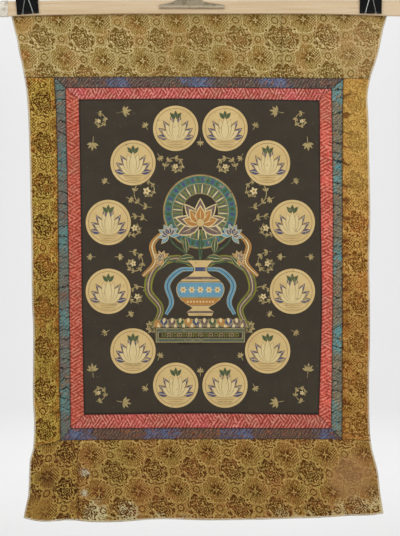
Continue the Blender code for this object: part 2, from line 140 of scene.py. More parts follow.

# %% [markdown]
# ## How the cloth falls
#
# Cloth that has been rolled for years keeps soft bars across it, and a panel that is pulled outwards
# swells into flutes below. Those broad waves are the solids' own. On top of them come creases, placed
# one by one as soft troughs and ridges where the photograph shows them. A simulation could drape the cloth
# too, but it would move it away from its real outline, so the shape is worked out instead.

# %% Say how far the cloth stands forward
Wave = namedtuple("Wave", "height across down start full phase")
WAVES = (
    Wave(0.0011, 0.000, 0.128, 0.010, 0.120, 0.0),
    Wave(0.0016, 0.310, 0.900, 0.004, 0.060, 0.8),
    Wave(0.0022, 0.168, 0.900, 0.560, 0.738, 2.1),
    Wave(0.0012, 0.094, 0.620, 0.620, 0.738, 0.4),
)
Crease = namedtuple("Crease", "x depth to_x to_depth width height")  # a minus height is a trough
CREASES = [Crease(*(size * MM for size in row)) for row in (
    (209, 181, 247, 178, 3.5, -0.9), (208, 209, 246, 214, 3.5, -1), (209, 238, 240, 234, 4, -0.9),
    (208, 331, 247, 335, 4.5, -0.7), (212, 455, 247, 449, 4, -0.8), (-247, 246, -207, 250, 4, -0.8),
    (-246, 402, -206, 398, 4.5, -0.8), (-245, 529, -205, 533, 4, -0.7), (-262, 12, -215, 83, 6, 1),
    (262, 12, 214, 86, 6, 1), (135, 8, 128, 88, 4.5, 0.7), (118, 5, 120, 90, 2.2, -0.6),
    (-170, 700, 245, 690, 5, 0.6), (214, 640, 243, 722, 6, 0.8), (-206, 634, -232, 728, 6, 0.9),
    (-178, 624, -178, 738, 2.2, -0.6), (-172, 263, 174, 259, 3, 0.4), (-171, 446, 175, 451, 3, 0.4),
    (194, 443, 233, 401, 1.8, -1),
)]


def ramp(value, start, full):
    """Nothing before start, one after full, and smooth between."""
    share = np.clip((value - start) / (full - start), 0.0, 1.0)
    return share * share * (3 - 2 * share)


def swell(x, depth):
    """How far the hanging cloth stands forward of flat."""
    total = np.zeros_like(x)
    for wave in WAVES:
        turns = depth / wave.down + (x / wave.across if wave.across else 0.0)
        total += wave.height * ramp(depth, wave.start, wave.full) * np.sin(math.tau * turns + wave.phase)
    for crease in CREASES:
        run, fall = crease.to_x - crease.x, crease.to_depth - crease.depth
        share = ((x - crease.x) * run + (depth - crease.depth) * fall) / (run * run + fall * fall)
        share = np.clip(share, 0.0, 1.0)
        away = np.hypot(x - crease.x - share * run, depth - crease.depth - share * fall)
        total += crease.height * np.exp(-(away / crease.width) ** 2)
    return total


def hung(x, depth, relief=0.0):
    """The places of spots on the cloth, as rows of x, y and z; relief brings them forward."""
    return np.column_stack((SCROLL_X + x, CLOTH_Y - swell(x, depth) - relief, -HOLD_RISE - depth))


print(len(WAVES), "waves and", len(CREASES), "creases shape the cloth")

# %% [markdown]
# ## The photographer's view
#
# The camera stands straight in front, at the middle of the picture, with a portrait lens. A frame 536
# pixels high and the pixel's real length give the distance. A large soft light at either side and a
# weaker one above keep the weave readable, a fourth washes the backdrop, and pale daylight fills the rest.

# %% Stand the camera
scene = bpy.context.scene
scene.view_settings.view_transform = "Standard"
LENS = 85.0
SENSOR = 36.0
CAMERA_AWAY = PHOTO_HEIGHT * PIXEL * LENS / SENSOR
AIM = Vector((SCROLL_X, CLOTH_Y, -HOLD_RISE - (PHOTO_HEIGHT / 2 - LATH_EDGE_PIXEL) * PIXEL))

camera = bpy.data.objects.new("camera", bpy.data.cameras.new("camera"))
camera.data.lens = LENS
camera.data.sensor_width = SENSOR
camera.location = AIM - Vector((0.0, CAMERA_AWAY, 0.0))
camera.rotation_euler = (math.pi / 2, 0.0, 0.0)
scene.collection.objects.link(camera)
scene.camera = camera
print("the camera stands", round(CAMERA_AWAY, 3), "m away")

# %% Sweep the paper stage
STAGE_WIDTH = 40.0         # so wide that neither side edge shows, also in a view at an angle
FLOOR_FRONT = -20.0        # so far forward that its edge is a level horizon in a view from behind
BACKDROP_AWAY = 4.6        # so far behind the scroll that a camera can also stand there
BACKDROP_TOP = 4.0
FLOOR_Z = -0.98
SWEEP = 1.4                # radius of the bend between floor and backdrop
SWEEP_STEPS = 12


def stage_profile():
    """The backdrop from its top down, round the bend and forward along the floor, as y and z."""
    points = [(BACKDROP_AWAY, BACKDROP_TOP)]
    for step in range(SWEEP_STEPS + 1):
        angle = math.pi / 2 * step / SWEEP_STEPS
        y = BACKDROP_AWAY - SWEEP + SWEEP * math.cos(angle)
        points.append((y, FLOOR_Z + SWEEP - SWEEP * math.sin(angle)))
    return points + [(FLOOR_FRONT, FLOOR_Z)]


def sweep_stage():
    """One pale sheet of paper: the profile twice, with faces between."""
    profile = stage_profile()
    points = [(side * STAGE_WIDTH / 2, y, z) for side in (-1, 1) for y, z in profile]
    count = len(profile)
    mesh = bpy.data.meshes.new("paper_sweep")
    mesh.from_pydata(points, [], [(at, at + 1, count + at + 1, count + at) for at in range(count - 1)])
    mesh.shade_smooth()
    sweep = bpy.data.objects.new("paper_sweep", mesh)
    scene.collection.objects.link(sweep)
    return len(mesh.polygons)


print("the stage has", sweep_stage(), "faces")

# %% Light it softly
Lamp = namedtuple("Lamp", "name place width power aim")
LAMPS = (
    Lamp("left_window", (-1.7, -1.5, 0.35), 1.3, 17.5, AIM),
    Lamp("right_window", (1.75, -1.5, 0.25), 1.3, 18.0, AIM),
    Lamp("ceiling_bounce", (0.1, -1.0, 1.3), 1.6, 11.0, AIM),
    Lamp("backdrop_wash", (0.0, 1.3, 2.6), 2.0, 110.0, Vector((0.0, BACKDROP_AWAY, -0.2))),
)
for lamp in LAMPS:
    data = bpy.data.lights.new(lamp.name, "AREA")
    data.size = lamp.width
    data.energy = lamp.power
    light = bpy.data.objects.new(lamp.name, data)
    light.location = lamp.place
    light.rotation_euler = (lamp.aim - light.location).to_track_quat("-Z", "Y").to_euler()
    scene.collection.objects.link(light)

DAYLIGHT = 0.31
world = bpy.data.worlds.new("pale_daylight")
world.use_nodes = True
world.node_tree.nodes["Background"].inputs["Color"].default_value = (1.0, 1.0, 1.0, 1.0)
world.node_tree.nodes["Background"].inputs["Strength"].default_value = DAYLIGHT
scene.world = world
print(len(LAMPS), "soft lamps and daylight of strength", DAYLIGHT)

# %% [markdown]
# ## Nodes without a tangle
#
# A pattern as rich as a brocade needs a hundred sums. Written one node at a time they can't be read, so
# there are four helpers. The first turns an sRGB hex colour to the linear one that light is worked out
# in. The second adds any node, with its settings and links. The third begins a material. The last reads
# a recipe, one "name = formula" to a line, and asks the second for the node of every step.


# %% Colours and nodes
def linear(colour):
    """An sRGB hex colour as linear red, green, blue and alpha."""
    channels = [int(colour[place:place + 2], 16) / 255 for place in (1, 3, 5)]
    return [c / 12.92 if c <= 0.04045 else ((c + 0.055) / 1.055) ** 2.4 for c in channels] + [1.0]


print("middle grey is", round(linear("#808080")[0], 3), "in linear light")

def add(tree, kind, inputs=None, **settings):
    """Add one node: settings are its own, and inputs give a socket a number, a colour or another's output."""
    node = tree.nodes.new(kind)
    for name, value in settings.items():
        setattr(node, name, value)
    for socket, value in (inputs or {}).items():
        if isinstance(value, bpy.types.NodeSocket):
            tree.links.new(value, node.inputs[socket])
        else:
            node.inputs[socket].default_value = value
    return node


def new_finish(name, constants):
    """A material, its tree and its shader, whose constant settings are given by name."""
    material = bpy.data.materials.new(name)
    material.use_nodes = True
    tree = material.node_tree
    shader = tree.nodes["Principled BSDF"]
    for setting, value in constants.items():
        shader.inputs[setting].default_value = value
    return material, tree, shader


# %% Read a recipe
MATHS = {
    ast.Add: "ADD", ast.Sub: "SUBTRACT", ast.Mult: "MULTIPLY", ast.Div: "DIVIDE", ast.Pow: "POWER",
    "sin": "SINE", "cos": "COSINE", "atan2": "ARCTAN2", "sqrt": "SQRT", "abs": "ABSOLUTE",
    "round": "ROUND", "floor": "FLOOR", "fract": "FRACT", "most": "MAXIMUM",
}
MIX_SOCKETS = (0, 2, 3)    # the sockets of a Mix node that take the share and two numbers


def work_out(tree, recipe, **known):
    """Add the nodes of a recipe of formulas to the tree, and give back all its values by name.

    ramp(x, a, b) rises smoothly from nothing at a to one at b. mix(share, a, b) goes from a to b.
    """
    def place(term):
        if isinstance(term, ast.Constant):
            return float(term.value)
        if isinstance(term, ast.Name):
            return known[term.id]
        if isinstance(term, ast.UnaryOp):
            value = place(term.operand)
            return -value if isinstance(value, float) else place_node(ast.Mult, (value, -1.0))
        if isinstance(term, ast.BinOp):
            return place_node(type(term.op), (place(term.left), place(term.right)))
        return place_node(term.func.id, [place(part) for part in term.args])

    def place_node(kind, values):
        if kind == "ramp":
            node = add(tree, "ShaderNodeMapRange", dict(enumerate(values)), interpolation_type="SMOOTHSTEP")
        elif kind == "mix":
            node = add(tree, "ShaderNodeMix", dict(zip(MIX_SOCKETS, values)))
        else:
            node = add(tree, "ShaderNodeMath", dict(enumerate(values)), operation=MATHS[kind])
        return node.outputs[0]

    for step in ast.parse(recipe).body:
        known[step.targets[0].id] = place(step.value)
    return known


print("recipes know", len(MATHS) + 2, "kinds of sum")

# %% [markdown]
# ## Cutting and hanging a cloth
#
# A panel is a flat grid, cut between a left, a right, a top and a bottom line. Every point of the grid
# settles at its share of the way between the four lines, and is then hung where the cloth hangs. Before
# that its flat area is measured, because it is the size a tailor would cut. A seam draws the cloth in a
# little, so the points near one lie back. The way to the nearest seam and to the nearest free edge stays
# on the points as an attribute: the finishes use it for stitched shadows and for worn edges.

# %% Find every point between four lines
LEFT, RIGHT, TOP, BOTTOM = range(4)
SETTLE_PASSES = 12         # enough for a point to settle between its four lines
MIDDLE_DEPTH = 0.35        # where a point starts to settle
NO_SEAM = 1000.0           # mm to a seam or free edge that a piece doesn't have


def settle(sides, u, v):
    """The x and depth of spots that lie a share u across and v down between four lines."""
    x, depth = np.zeros_like(u), np.full_like(u, MIDDLE_DEPTH)
    for _ in range(SETTLE_PASSES):
        x = sides[LEFT](depth) * (1 - u) + sides[RIGHT](depth) * u
        depth = sides[TOP](x) * (1 - v) + sides[BOTTOM](x) * v
    return x, depth


def ways_to_edges(sides, x, depth):
    """How far spots are from the left, right, top and bottom line, in metres."""
    return np.array((
        x - sides[LEFT](depth), sides[RIGHT](depth) - x, depth - sides[TOP](x), sides[BOTTOM](x) - depth))


# %% Keep what the finishes read
def place_points(mesh, places):
    """Move a mesh's points to the rows of an array."""
    mesh.vertices.foreach_set("co", places.astype(np.float32).ravel())


def flat_area(mesh, x, depth):
    """The area of the mesh's faces while it lies flat."""
    place_points(mesh, np.column_stack((x, depth, np.zeros_like(x))))
    mesh.update()
    areas = np.empty(len(mesh.polygons), np.float32)
    mesh.polygons.foreach_get("area", areas)
    return float(areas.sum())


def give_weave(mesh, u, v):
    """Store the weave's own coordinates on the mesh."""
    corners = np.empty(len(mesh.loops), np.int32)
    mesh.loops.foreach_get("vertex_index", corners)
    mesh.uv_layers.new(name="weave").uv.foreach_set(
        "vector", np.column_stack((u, v))[corners].astype(np.float32).ravel())


def keep_way(mesh, name, ways):
    """Store the way to the nearest of some edges on the points, in mm."""
    nearest = ways.min(axis=0) / MM if len(ways) else np.full(len(mesh.vertices), NO_SEAM)
    mesh.attributes.new(name, "FLOAT", "POINT").data.foreach_set("value", nearest.astype(np.float32))


# %% Cut, hang and thicken a panel
SEAM_DIP = 0.5 * MM
SEAM_PULL = 1.6 * MM       # how far from a seam its dip reaches
RIM_ROLL = 0.35 * MM
RIM_PULL = 2.2 * MM
SHEETS = []                # the cloth pieces, kept for the end: piece, node, width, length and area


def make_sheet(mesh, node, x, depth, ways, free, relief, finishes):
    """Hang a flat mesh, thicken it and note its flat size. The last finish is the one of its back."""
    area = flat_area(mesh, x, depth)
    seams = np.delete(ways, free, axis=0)
    keep_way(mesh, "seam", seams)
    keep_way(mesh, "rim", ways[list(free)])
    if len(seams):
        relief = relief - SEAM_DIP * np.exp(-(seams.min(axis=0) / SEAM_PULL) ** 2)
    if len(free):
        relief = relief - RIM_ROLL * np.exp(-(ways[list(free)].min(axis=0) / RIM_PULL) ** 2)
    place_points(mesh, hung(x, depth, relief))
    mesh.update()
    mesh.shade_smooth()
    for finish in finishes:
        mesh.materials.append(finish)
    piece = bpy.data.objects.new(mesh.name, mesh)
    scene.collection.objects.link(piece)
    solidify = piece.modifiers.new("thickness", "SOLIDIFY")
    solidify.thickness = CLOTH_THICK
    solidify.offset = 0.0
    solidify.material_offset = len(finishes) - 1
    SHEETS.append((piece, node, float(np.ptp(x)), float(np.ptp(depth)), area))


def cut_panel(node, name, sides, pitch, weave, finishes, free=(), relief=None):
    """A four-sided cloth: weave and relief are worked out from x, depth and the ways to the edges."""
    u, v = np.array((0.0, 1.0, 0.0, 1.0)), np.array((0.0, 0.0, 1.0, 1.0))
    x, depth = settle(sides, u, v)
    columns, rows = (max(2, round(float(np.ptp(span)) / pitch)) for span in (x, depth))
    shape = bmesh.new()
    bmesh.ops.create_grid(shape, x_segments=columns, y_segments=rows, size=0.5)
    mesh = bpy.data.meshes.new(name)
    shape.to_mesh(mesh)
    shape.free()
    flat = np.empty(3 * len(mesh.vertices), np.float32)
    mesh.vertices.foreach_get("co", flat)
    across, up, _ = flat.reshape(-1, 3).astype(float).T
    x, depth = settle(sides, across + 0.5, 0.5 - up)
    ways = ways_to_edges(sides, x, depth)
    give_weave(mesh, *weave(x, depth, ways))
    raised = relief(x, depth, ways) if relief else np.zeros_like(x)
    make_sheet(mesh, node, x, depth, ways, free, raised, finishes)


# %% [markdown]
# ## What all the cloths' finishes share
#
# Each finish reads the same few facts of its cloth, and each is a stack of colours: a ground, then one
# layer over another where a recipe says so. Fabric scatters light softly, so the shader stays rough, with
# a little sheen for the fibre ends.


# %% Read a cloth and stack its colours
FABRIC = {
    "Roughness": 0.8, "IOR": 1.5, "Specular IOR Level": 0.12, "Sheen Weight": 0.04, "Sheen Roughness": 0.5,
}
RAGGED, SOFT, ROUND = 3.0, 1.0, 0.0  # how much finer detail the edge of a blotch has


def clouds(tree, place, detail=RAGGED, **sizes):
    """One noise for each size of blotch, named as given."""
    constants = {"Vector": place, "Detail": detail, "Roughness": 0.6}
    return {name: add(tree, "ShaderNodeTexNoise", {**constants, "Scale": 1.0 / size}).outputs[0]
            for name, size in sizes.items()}


def begin_cloth(name, noises, constants=FABRIC):
    """A cloth's material, tree, shader and facts, with noises by their detail and their names.

    Its facts are the weave's u and v, the place in the room, and the ways to the nearest seam and free
    edge in mm.
    """
    material, tree, shader = new_finish(name, constants)
    weave = add(tree, "ShaderNodeSeparateXYZ", {0: add(tree, "ShaderNodeUVMap", uv_map="weave").outputs[0]})
    facts = {
        "u": weave.outputs[0], "v": weave.outputs[1],
        "place": add(tree, "ShaderNodeTexCoord").outputs["Object"],
        "seam": add(tree, "ShaderNodeAttribute", attribute_name="seam").outputs["Fac"],
        "rim": add(tree, "ShaderNodeAttribute", attribute_name="rim").outputs["Fac"],
    }
    for detail, sizes in noises.items():
        facts |= clouds(tree, facts["place"], detail, **sizes)
    return material, tree, shader, facts


def layered(tree, facts, ground, **layers):
    """Lay colours over a ground, each with the share from nothing to one that the facts have by its name."""
    if isinstance(ground, str):
        ground = linear(ground)
    for name, colour in layers.items():
        inputs = {0: facts[name], 6: ground, 7: linear(colour)}
        ground = add(tree, "ShaderNodeMix", inputs, data_type="RGBA").outputs[2]
    return ground


def dress(tree, shader, colour, height, depth):
    """Give a shader its colour, and a relief whose full height is the depth in metres."""
    tree.links.new(colour, shader.inputs["Base Color"])
    bump = add(tree, "ShaderNodeBump", {"Height": height, "Distance": depth})
    tree.links.new(bump.outputs[0], shader.inputs["Normal"])


# %% [markdown]
# ## The brocade
#
# The mount is a silk brocade with gold-coloured thread: brown peonies and small star flowers stand in
# turn on a lattice, each in a thin lobed frame, with a ring between them and a bead where four frames
# meet. A patch of lozenges lies beside every star. The motif is woven over and over from the same cards,
# so one formula for one repeat makes the whole cloth. It is worked out in mm from the nearest peony,
# star, ring and bead. "tone" goes from the dark thread at nothing to the light one at one. Age comes
# last: warm and olive blotches, bare thread along the rim, and stains. Then painted shade: dark bands
# where a seam pulls the cloth into tucks, dark dots at the stitches and a dark line along each seam.
# A few broad faint patches only make part of a panel lighter or darker.

# %% Chart one repeat of the brocade
MOTIF = {  # mm
    "frame_radius": 18.6, "frame_lobe": 1.6, "net_away": 12.0, "peony_radius": 17.8, "peony_lobe": 2.0,
    "petals_apart": 5.2, "outer_ring": 7.0, "middle_ring": 4.3, "inner_ring": 2.4, "tucks_apart": 26.0,
}
REPEAT = """
u = u + (sway - 0.5) * 0.05
v = v + (drift - 0.5) * 0.05
px = (u - round(u)) * across
py = (v - round(v)) * down
fx = (fract(u) - 0.5) * across
fy = (fract(v) - 0.5) * down
s = fract(u + v) - 0.5
t = fract(u - v) - 0.5
rx = (s + t) * across / 2
ry = (s - t) * down / 2
bx = (fract(u * 2) - 0.5) * across / 2
by = (fract(v * 2) - 0.5) * down / 2
from_peony = sqrt(px * px + py * py)
from_star = sqrt(fx * fx + fy * fy)
from_ring = sqrt(rx * rx + ry * ry)
from_bead = sqrt(bx * bx + by * by)
round_peony = atan2(py, px)
round_star = atan2(fy, fx)
"""
GROUND = """
grain = cos(fx * 1.5) * cos(fy * 1.5)
tone = 0.56 + 0.20 * grain
frame = from_star - frame_radius - frame_lobe * abs(sin(4 * round_star))
ribs = 0.51 + 0.10 * sin(fx * 2.2) + 0.16 * grain + 0.7 * (ruffle - 0.5)
tone = mix(ramp(frame, 0.4, -0.4), tone, ribs)
nx = fx - net_away
ny = fy * 0.6
near_net = ramp(sqrt(nx * nx + ny * ny), 7.4, 4.6)
tone = mix(near_net, tone, 0.50 + 0.50 * grain)
tone = mix(ramp(abs(frame), 1.2, 0.3) * (0.66 + (ruffle - 0.5) * 1.6), tone, 0.94)
"""

# %% Draw its flowers, ring and bead
PEONY = """
edge = from_peony - peony_radius - peony_lobe * abs(sin(4 * round_peony)) + (curl - 0.5) * 13
way = from_peony + (curl - 0.5) * 20
turned = round_peony + (twist - 0.5) * 2.6
arcs = abs(fract(way / petals_apart + 0.55 * abs(sin(2.5 * turned))) - 0.5) * 2
petals = mix(ramp(arcs, 0.38, 0.82), 0.10 + 0.10 * grain, 0.84)
cut = abs(fract(turned * 1.5915 + way * 0.07) - 0.5) * way * 0.63
petals = mix(ramp(cut, 1.0, 0.3) * ramp(way, 3.5, 7.5) * 0.8, petals, 0.10)
tone = mix(ramp(abs(edge - 1.2), 1.2, 0.4) * 0.45, tone, 0.94)
tone = mix(ramp(edge, 0.6, -0.6), tone, petals)
"""
SMALL = """
leaf = from_star - 3.4 - 6.6 * abs(cos(4 * round_star + 0.6)) ** 1.6 - (ruffle - 0.5) * 9
tone = mix(ramp(leaf, 0.7, -0.5) * 0.92, tone, 0.04)
cross = from_star - 4.1 * abs(cos(2 * round_star)) ** 1.1
tone = mix(ramp(cross, 0.6, -0.4) * 0.9, tone, 0.92)
tone = mix(ramp(from_star, 1.1, 0.5) * 0.6, tone, 0.25)
tone = mix(ramp(abs(from_ring - outer_ring), 1.0, 0.4) * 0.3, tone, 0.92)
tone = mix(ramp(abs(from_ring - middle_ring), 1.0, 0.3) * 0.9, tone, 0.06)
tone = mix(ramp(abs(from_ring - inner_ring), 0.9, 0.4) * 0.5, tone, 0.86)
tone = mix(ramp(from_bead, 3.9, 3.1) * 0.7, tone, 0.88)
tone = mix(ramp(from_bead, 2.0, 1.0), tone, 0.04)
"""

# %% Let it age
WEAR = """
tone = 0.5 + (tone - 0.5) * depth_of_tone + (fleck - 0.5) * busy
to_middle = tone * 2
to_light = tone * 2 - 1
spotted = ramp(blotch + (wear - 0.5) * 0.7, 0.52, 0.66) * 0.28
mossy = ramp(blotch + (wear - 0.5) * 0.7, 0.46, 0.34) * tone * 0.45
edged = ramp(seam + (wear - 0.5) * 22, 9, 2) * ramp(spark, 0.48, 0.60) * singed
warmed = most(spotted, edged)
tuck = abs(fract(v * down / tucks_apart + (blotch - 0.5) * 2 + (wear - 0.5) * 0.5) - 0.5) + seam * 0.007
tuck = ramp(tuck, 0.17, 0.07) * ramp(seam, 18, 9) * tucked
rubbed = ramp(wear, 0.60, 0.76) * 0.26
worn_rim = ramp(rim + (fleck - 0.5) * 2.4, 3.2, 1.4) * (0.72 + 0.28 * sin(v * down * 2.2))
shadow = ramp(seam, 1.5, 0.2) * seamed
pit = ramp(seam, 3.4, 0.9) * ramp(abs(fract(v * down / stitch) - 0.5), 0.24, 0.06) * pitted
"""
STITCH = 5.4               # mm from one stitch of a seam to the next
# A cloth's wear also holds how strong its painted shade is at the stitches, seams and tucks.
Threads = namedtuple("Threads", "dark middle light warm mossy wear")
BARE_THREAD = "#ddd2ba"    # of a rim where the colour has worn off
WIDEST_RAG = 40 * MM       # how far the edge of a stain wanders at most
STAINING = """
near = ramp(away + (wear - 0.5) * rag, size, size * 0.4) * strength
share = near * mix(even, ramp(tone + (fleck - 0.5) * 1.2, 0.30, 0.66), 1)
"""
Stain = namedtuple("Stain", "x depth size strength even colour")  # even at nothing spares the dark threads
BROCADE = GROUND + PEONY + SMALL + WEAR
print("the chart and its wear are", (REPEAT + BROCADE).count("="), "formulas")

# %% Lay the repeat on a cloth
Lattice = namedtuple("Lattice", "x depth across down lean rise")  # a peony's place, the repeat and its skew


def on_lattice(lattice, sag=None):
    """The rule that gives a spot's u and v in repeats. A sag is how far the rows hang down at an x."""
    def weave(x, depth, _):
        right, low = x / MM - lattice.x, depth / MM - lattice.depth
        if sag:
            low = low - sag(x) / MM
        return (right - lattice.lean * low) / lattice.across, (low + lattice.rise * right) / lattice.down

    return weave


# %% Weave the brocade
BROCADE_RELIEF = 0.25 * MM


def brocade(name, lattice, threads, stains):
    """Silk brocade: the repeat in three tones, worn along its edges, stained here and there, and with painted
    shade at its tucks, stitches and seams.
    """
    material, tree, shader, facts = begin_cloth(name, {
        RAGGED: {"wear": 0.012, "blotch": 0.045}, SOFT: {"sway": 0.030, "drift": 0.024},
        ROUND: {"fleck": 0.0020, "spark": 0.0033}})
    facts = work_out(tree, REPEAT, across=lattice.across, down=lattice.down, **facts)
    peony = add(tree, "ShaderNodeCombineXYZ", {0: facts["px"], 1: facts["py"]}).outputs[0]
    star = add(tree, "ShaderNodeCombineXYZ", {0: facts["fx"], 1: facts["fy"]}).outputs[0]
    facts |= clouds(tree, peony, SOFT, curl=9.0, twist=6.5)
    facts |= clouds(tree, star, SOFT, ruffle=4.5)
    facts = work_out(tree, BROCADE, stitch=STITCH, **MOTIF, **facts, **threads.wear)
    colour = layered(
        tree, facts, threads.dark, to_middle=threads.middle, to_light=threads.light, warmed=threads.warm,
        mossy=threads.mossy, rubbed=threads.middle, worn_rim=BARE_THREAD)
    for stain in stains:
        spot = Vector((SCROLL_X + stain.x * MM, CLOTH_Y, -HOLD_RISE - stain.depth * MM))
        away = add(tree, "ShaderNodeVectorMath", {0: facts["place"], 1: spot}, operation="DISTANCE")
        stained = work_out(
            tree, STAINING, away=away.outputs["Value"], wear=facts["wear"], fleck=facts["fleck"],
            tone=facts["tone"], size=stain.size * MM, rag=min(2 * stain.size * MM, WIDEST_RAG),
            strength=stain.strength, even=stain.even)
        colour = layered(tree, stained, colour, share=stain.colour)
    # Painted shade: dark bands where a seam pulls the cloth into tucks, dark dots at the stitch pits and a
    # dark line along each seam.
    colour = layered(tree, facts, colour, tuck="#5f3110", pit="#4a3214", shadow="#2a1a0c")
    dress(tree, shader, colour, facts["tone"], BROCADE_RELIEF)
    return material


# %% Turn a cloth over
SILK_RELIEF = 0.20 * MM
BACK = """
ribs = 0.5 + 0.5 * sin(x * 4200) * sin(z * 4200)
striped = (patch - 0.35) * 0.8 + (fleck - 0.5) * 0.8 + ribs * 0.15
shadow = ramp(seam, 2.0, 0.3) * 0.5
"""


def cloth_back(name, ground, stripe):
    """The wrong side of a cloth: plain floats of thread between the ribs of the weave."""
    material, tree, shader, facts = begin_cloth(name, {RAGGED: {"patch": 0.05, "fleck": 0.0015}})
    axes = add(tree, "ShaderNodeSeparateXYZ", {0: facts["place"]})
    facts = work_out(tree, BACK, x=axes.outputs[0], z=axes.outputs[2], **facts)
    colour = layered(tree, facts, ground, striped=stripe, shadow="#3a2c1c")
    dress(tree, shader, colour, facts["ribs"], SILK_RELIEF)
    return material


# %% Hang the brocade mount
BROCADE_PITCH = 1.9 * MM   # between the points of its mesh
# In each set of wear, the entries for stitch pits, seams and tucks set how strong the painted shade there is.
THREADS = {
    "brocade_top": Threads(
        "#5f400e", "#93773a", "#d8c58e", "#a5703a", "#a89a60",
        dict(busy=0.7, depth_of_tone=1.0, pitted=0.2, singed=0.0, seamed=0.15, tucked=0.0)),
    "brocade_left": Threads(
        "#452300", "#886320", "#c9ac57", "#b0642a", "#a09038",
        dict(busy=1.5, depth_of_tone=1.1, pitted=0.8, singed=0.6, seamed=0.55, tucked=0.3)),
    "brocade_right": Threads(
        "#5a3004", "#9c702e", "#d4a95f", "#b5672b", "#a8883c",
        dict(busy=1.2, depth_of_tone=1.05, pitted=0.5, singed=0.6, seamed=0.55, tucked=0.8)),
    "brocade_bottom": Threads(
        "#4b2803", "#87622a", "#c2a05c", "#94562e", "#9a8a44",
        dict(busy=0.9, depth_of_tone=1.1, pitted=0.2, singed=0.1, seamed=0.12, tucked=0.0)),
    "brocade_bottom_left": Threads(
        "#3e1c02", "#866228", "#b89a50", "#7c4420", "#94843c",
        dict(busy=1.0, depth_of_tone=1.35, pitted=0.2, singed=0.2, seamed=0.15, tucked=0.0)),
}
THREADS["brocade_top_right"] = THREADS["brocade_top"]
SAGS = {  # an x, and how far the woven rows hang there, both in mm
    "brocade_top": line((
        (-248, -3.1), (-219, -1.9), (-186, 0.3), (-156, 1.3), (-131, 2), (-102, 2.4), (-73, 2.5),
        (-44, 0.6), (-15, -0.4), (15, -1.6), (44, -0.9), (73, -0.4),
    )),
    "brocade_bottom": line((
        (-168, 2.9), (-117, 2.3), (-73, 1), (-36, -0.3), (0, -1.5), (44, -0.3), (88, 1.2), (131, 3.1),
        (183, 2.2), (255, 1.5),
    )),
}
STAINS = {  # x, depth and size in mm, strength, evenness and colour
    "brocade_bottom": (
        (222, 675, 46, 0.65, 0.8, "#a57c50"), (-170, 667, 10, 0.9, 0.3, "#c8bfa4"),
        (-170, 699, 8, 0.8, 0.2, "#c8bfa4"), (-152, 730, 24, 0.85, 0.0, "#c9bf92"),
        (-105, 731, 22, 0.8, 0.0, "#c9bf92"), (-60, 738, 14, 0.6, 0.0, "#c9bf92"),
        (262, 716, 20, 0.7, 0.0, "#cdbd8c"), (125, 740, 22, 0.65, 0.0, "#cbb988"),
        (165, 739, 18, 0.6, 0.0, "#cbb988"), (203, 729, 20, 0.6, 0.0, "#cbb988"),
        (236, 722, 22, 0.6, 0.0, "#cbb988"), (-15, 744, 17, 0.6, 0.0, "#c9bf92"),
        (35, 745, 14, 0.6, 0.0, "#cbb988"),
    ),
    "brocade_bottom_left": (
        (-238, 722, 26, 0.6, 0.8, "#9a7434"), (-222, 682, 16, 0.55, 0.8, "#5c3d1c"),
        (-262, 737, 12, 0.7, 0.4, "#b5a868"),
    ),
    # The broad faint patches here only make part of a panel darker or lighter: the left strip darker low
    # down, and the right strip lighter at its top and darker lower down.
    "brocade_left": ((-235, 460, 130, 0.22, 0.9, "#64400f"),),
    "brocade_right": (
        (235, 140, 170, 0.40, 0.75, "#cfa956"), (235, 540, 220, 0.22, 0.9, "#75481a"),
    ),
    # A broad faint patch that makes the right end of the top lighter.
    "brocade_top_right": ((230, 45, 60, 0.24, 0.7, "#c29a6c"),),
    "brocade_top": (
        (-118.7, 4, 12, 0.45, 0.5, "#b3854c"), (-65, 3, 9, 0.4, 0.5, "#b3854c"),
        (-255, 16, 16, 0.55, 0.4, "#b5874a"), (40, 62, 14, 0.35, 0.5, "#a5762f"),
        # The second patch on the next line is broad and faint and only darkens the top around its middle.
        (-257, 61, 10, 0.5, 0.5, "#b5763e"), (0, 55, 110, 0.20, 0.9, "#85652c"),
    ),
}
seam_left, seam_right, seam_top, seam_bottom = OUTER
MOUNT = {  # its finish, its four lines, the lattice of its weave and its free edges
    "brocade_top": (
        "gold_brocade", (left_edge, top_joint, cloth_top, seam_top),
        Lattice(-116.7, 36.9, 57.5, 55.3, 0.145, 0.0), (LEFT, TOP)),
    "brocade_top_right": (
        "gold_brocade_offcut", (top_joint, right_edge, cloth_top, seam_top),
        Lattice(183.7, 33.1, 59.1, 55.3, 0.13, 0.06), (RIGHT, TOP)),
    "brocade_left": (
        "golden_brocade", (left_edge, seam_left, seam_top, seam_bottom),
        Lattice(-229.2, 251.3, 57, 59.7, 0.0, 0.0), (LEFT,)),
    "brocade_right": (
        "amber_brocade", (seam_right, right_edge, seam_top, seam_bottom),
        Lattice(229.7, 365.1, 42, 58.8, 0.025, 0.0), (RIGHT,)),
    "brocade_bottom_left": (
        "brown_brocade_offcut", (left_edge, bottom_joint, seam_bottom, hem),
        Lattice(-194.2, 642.7, 54, 51.7, -0.054, 0.19), (LEFT, BOTTOM)),
    "brocade_bottom": (
        "brown_brocade", (bottom_joint, right_edge, seam_bottom, hem),
        Lattice(46, 667.4, 56.9, 54, 0.216, 0.0), (RIGHT, BOTTOM)),
}
back = cloth_back("brocade_wrong_side", "#8d7748", "#5f4a2a")
for node, (finish, sides, lattice, free) in MOUNT.items():
    stains = [Stain(*row) for row in STAINS[node]]
    face = brocade(finish, lattice, THREADS[node], stains)
    weave = on_lattice(lattice, SAGS.get(node))
    cut_panel(node, node + "_cloth", sides, BROCADE_PITCH, weave, (face, back), free)
print(len(SHEETS), "pieces of brocade hang")

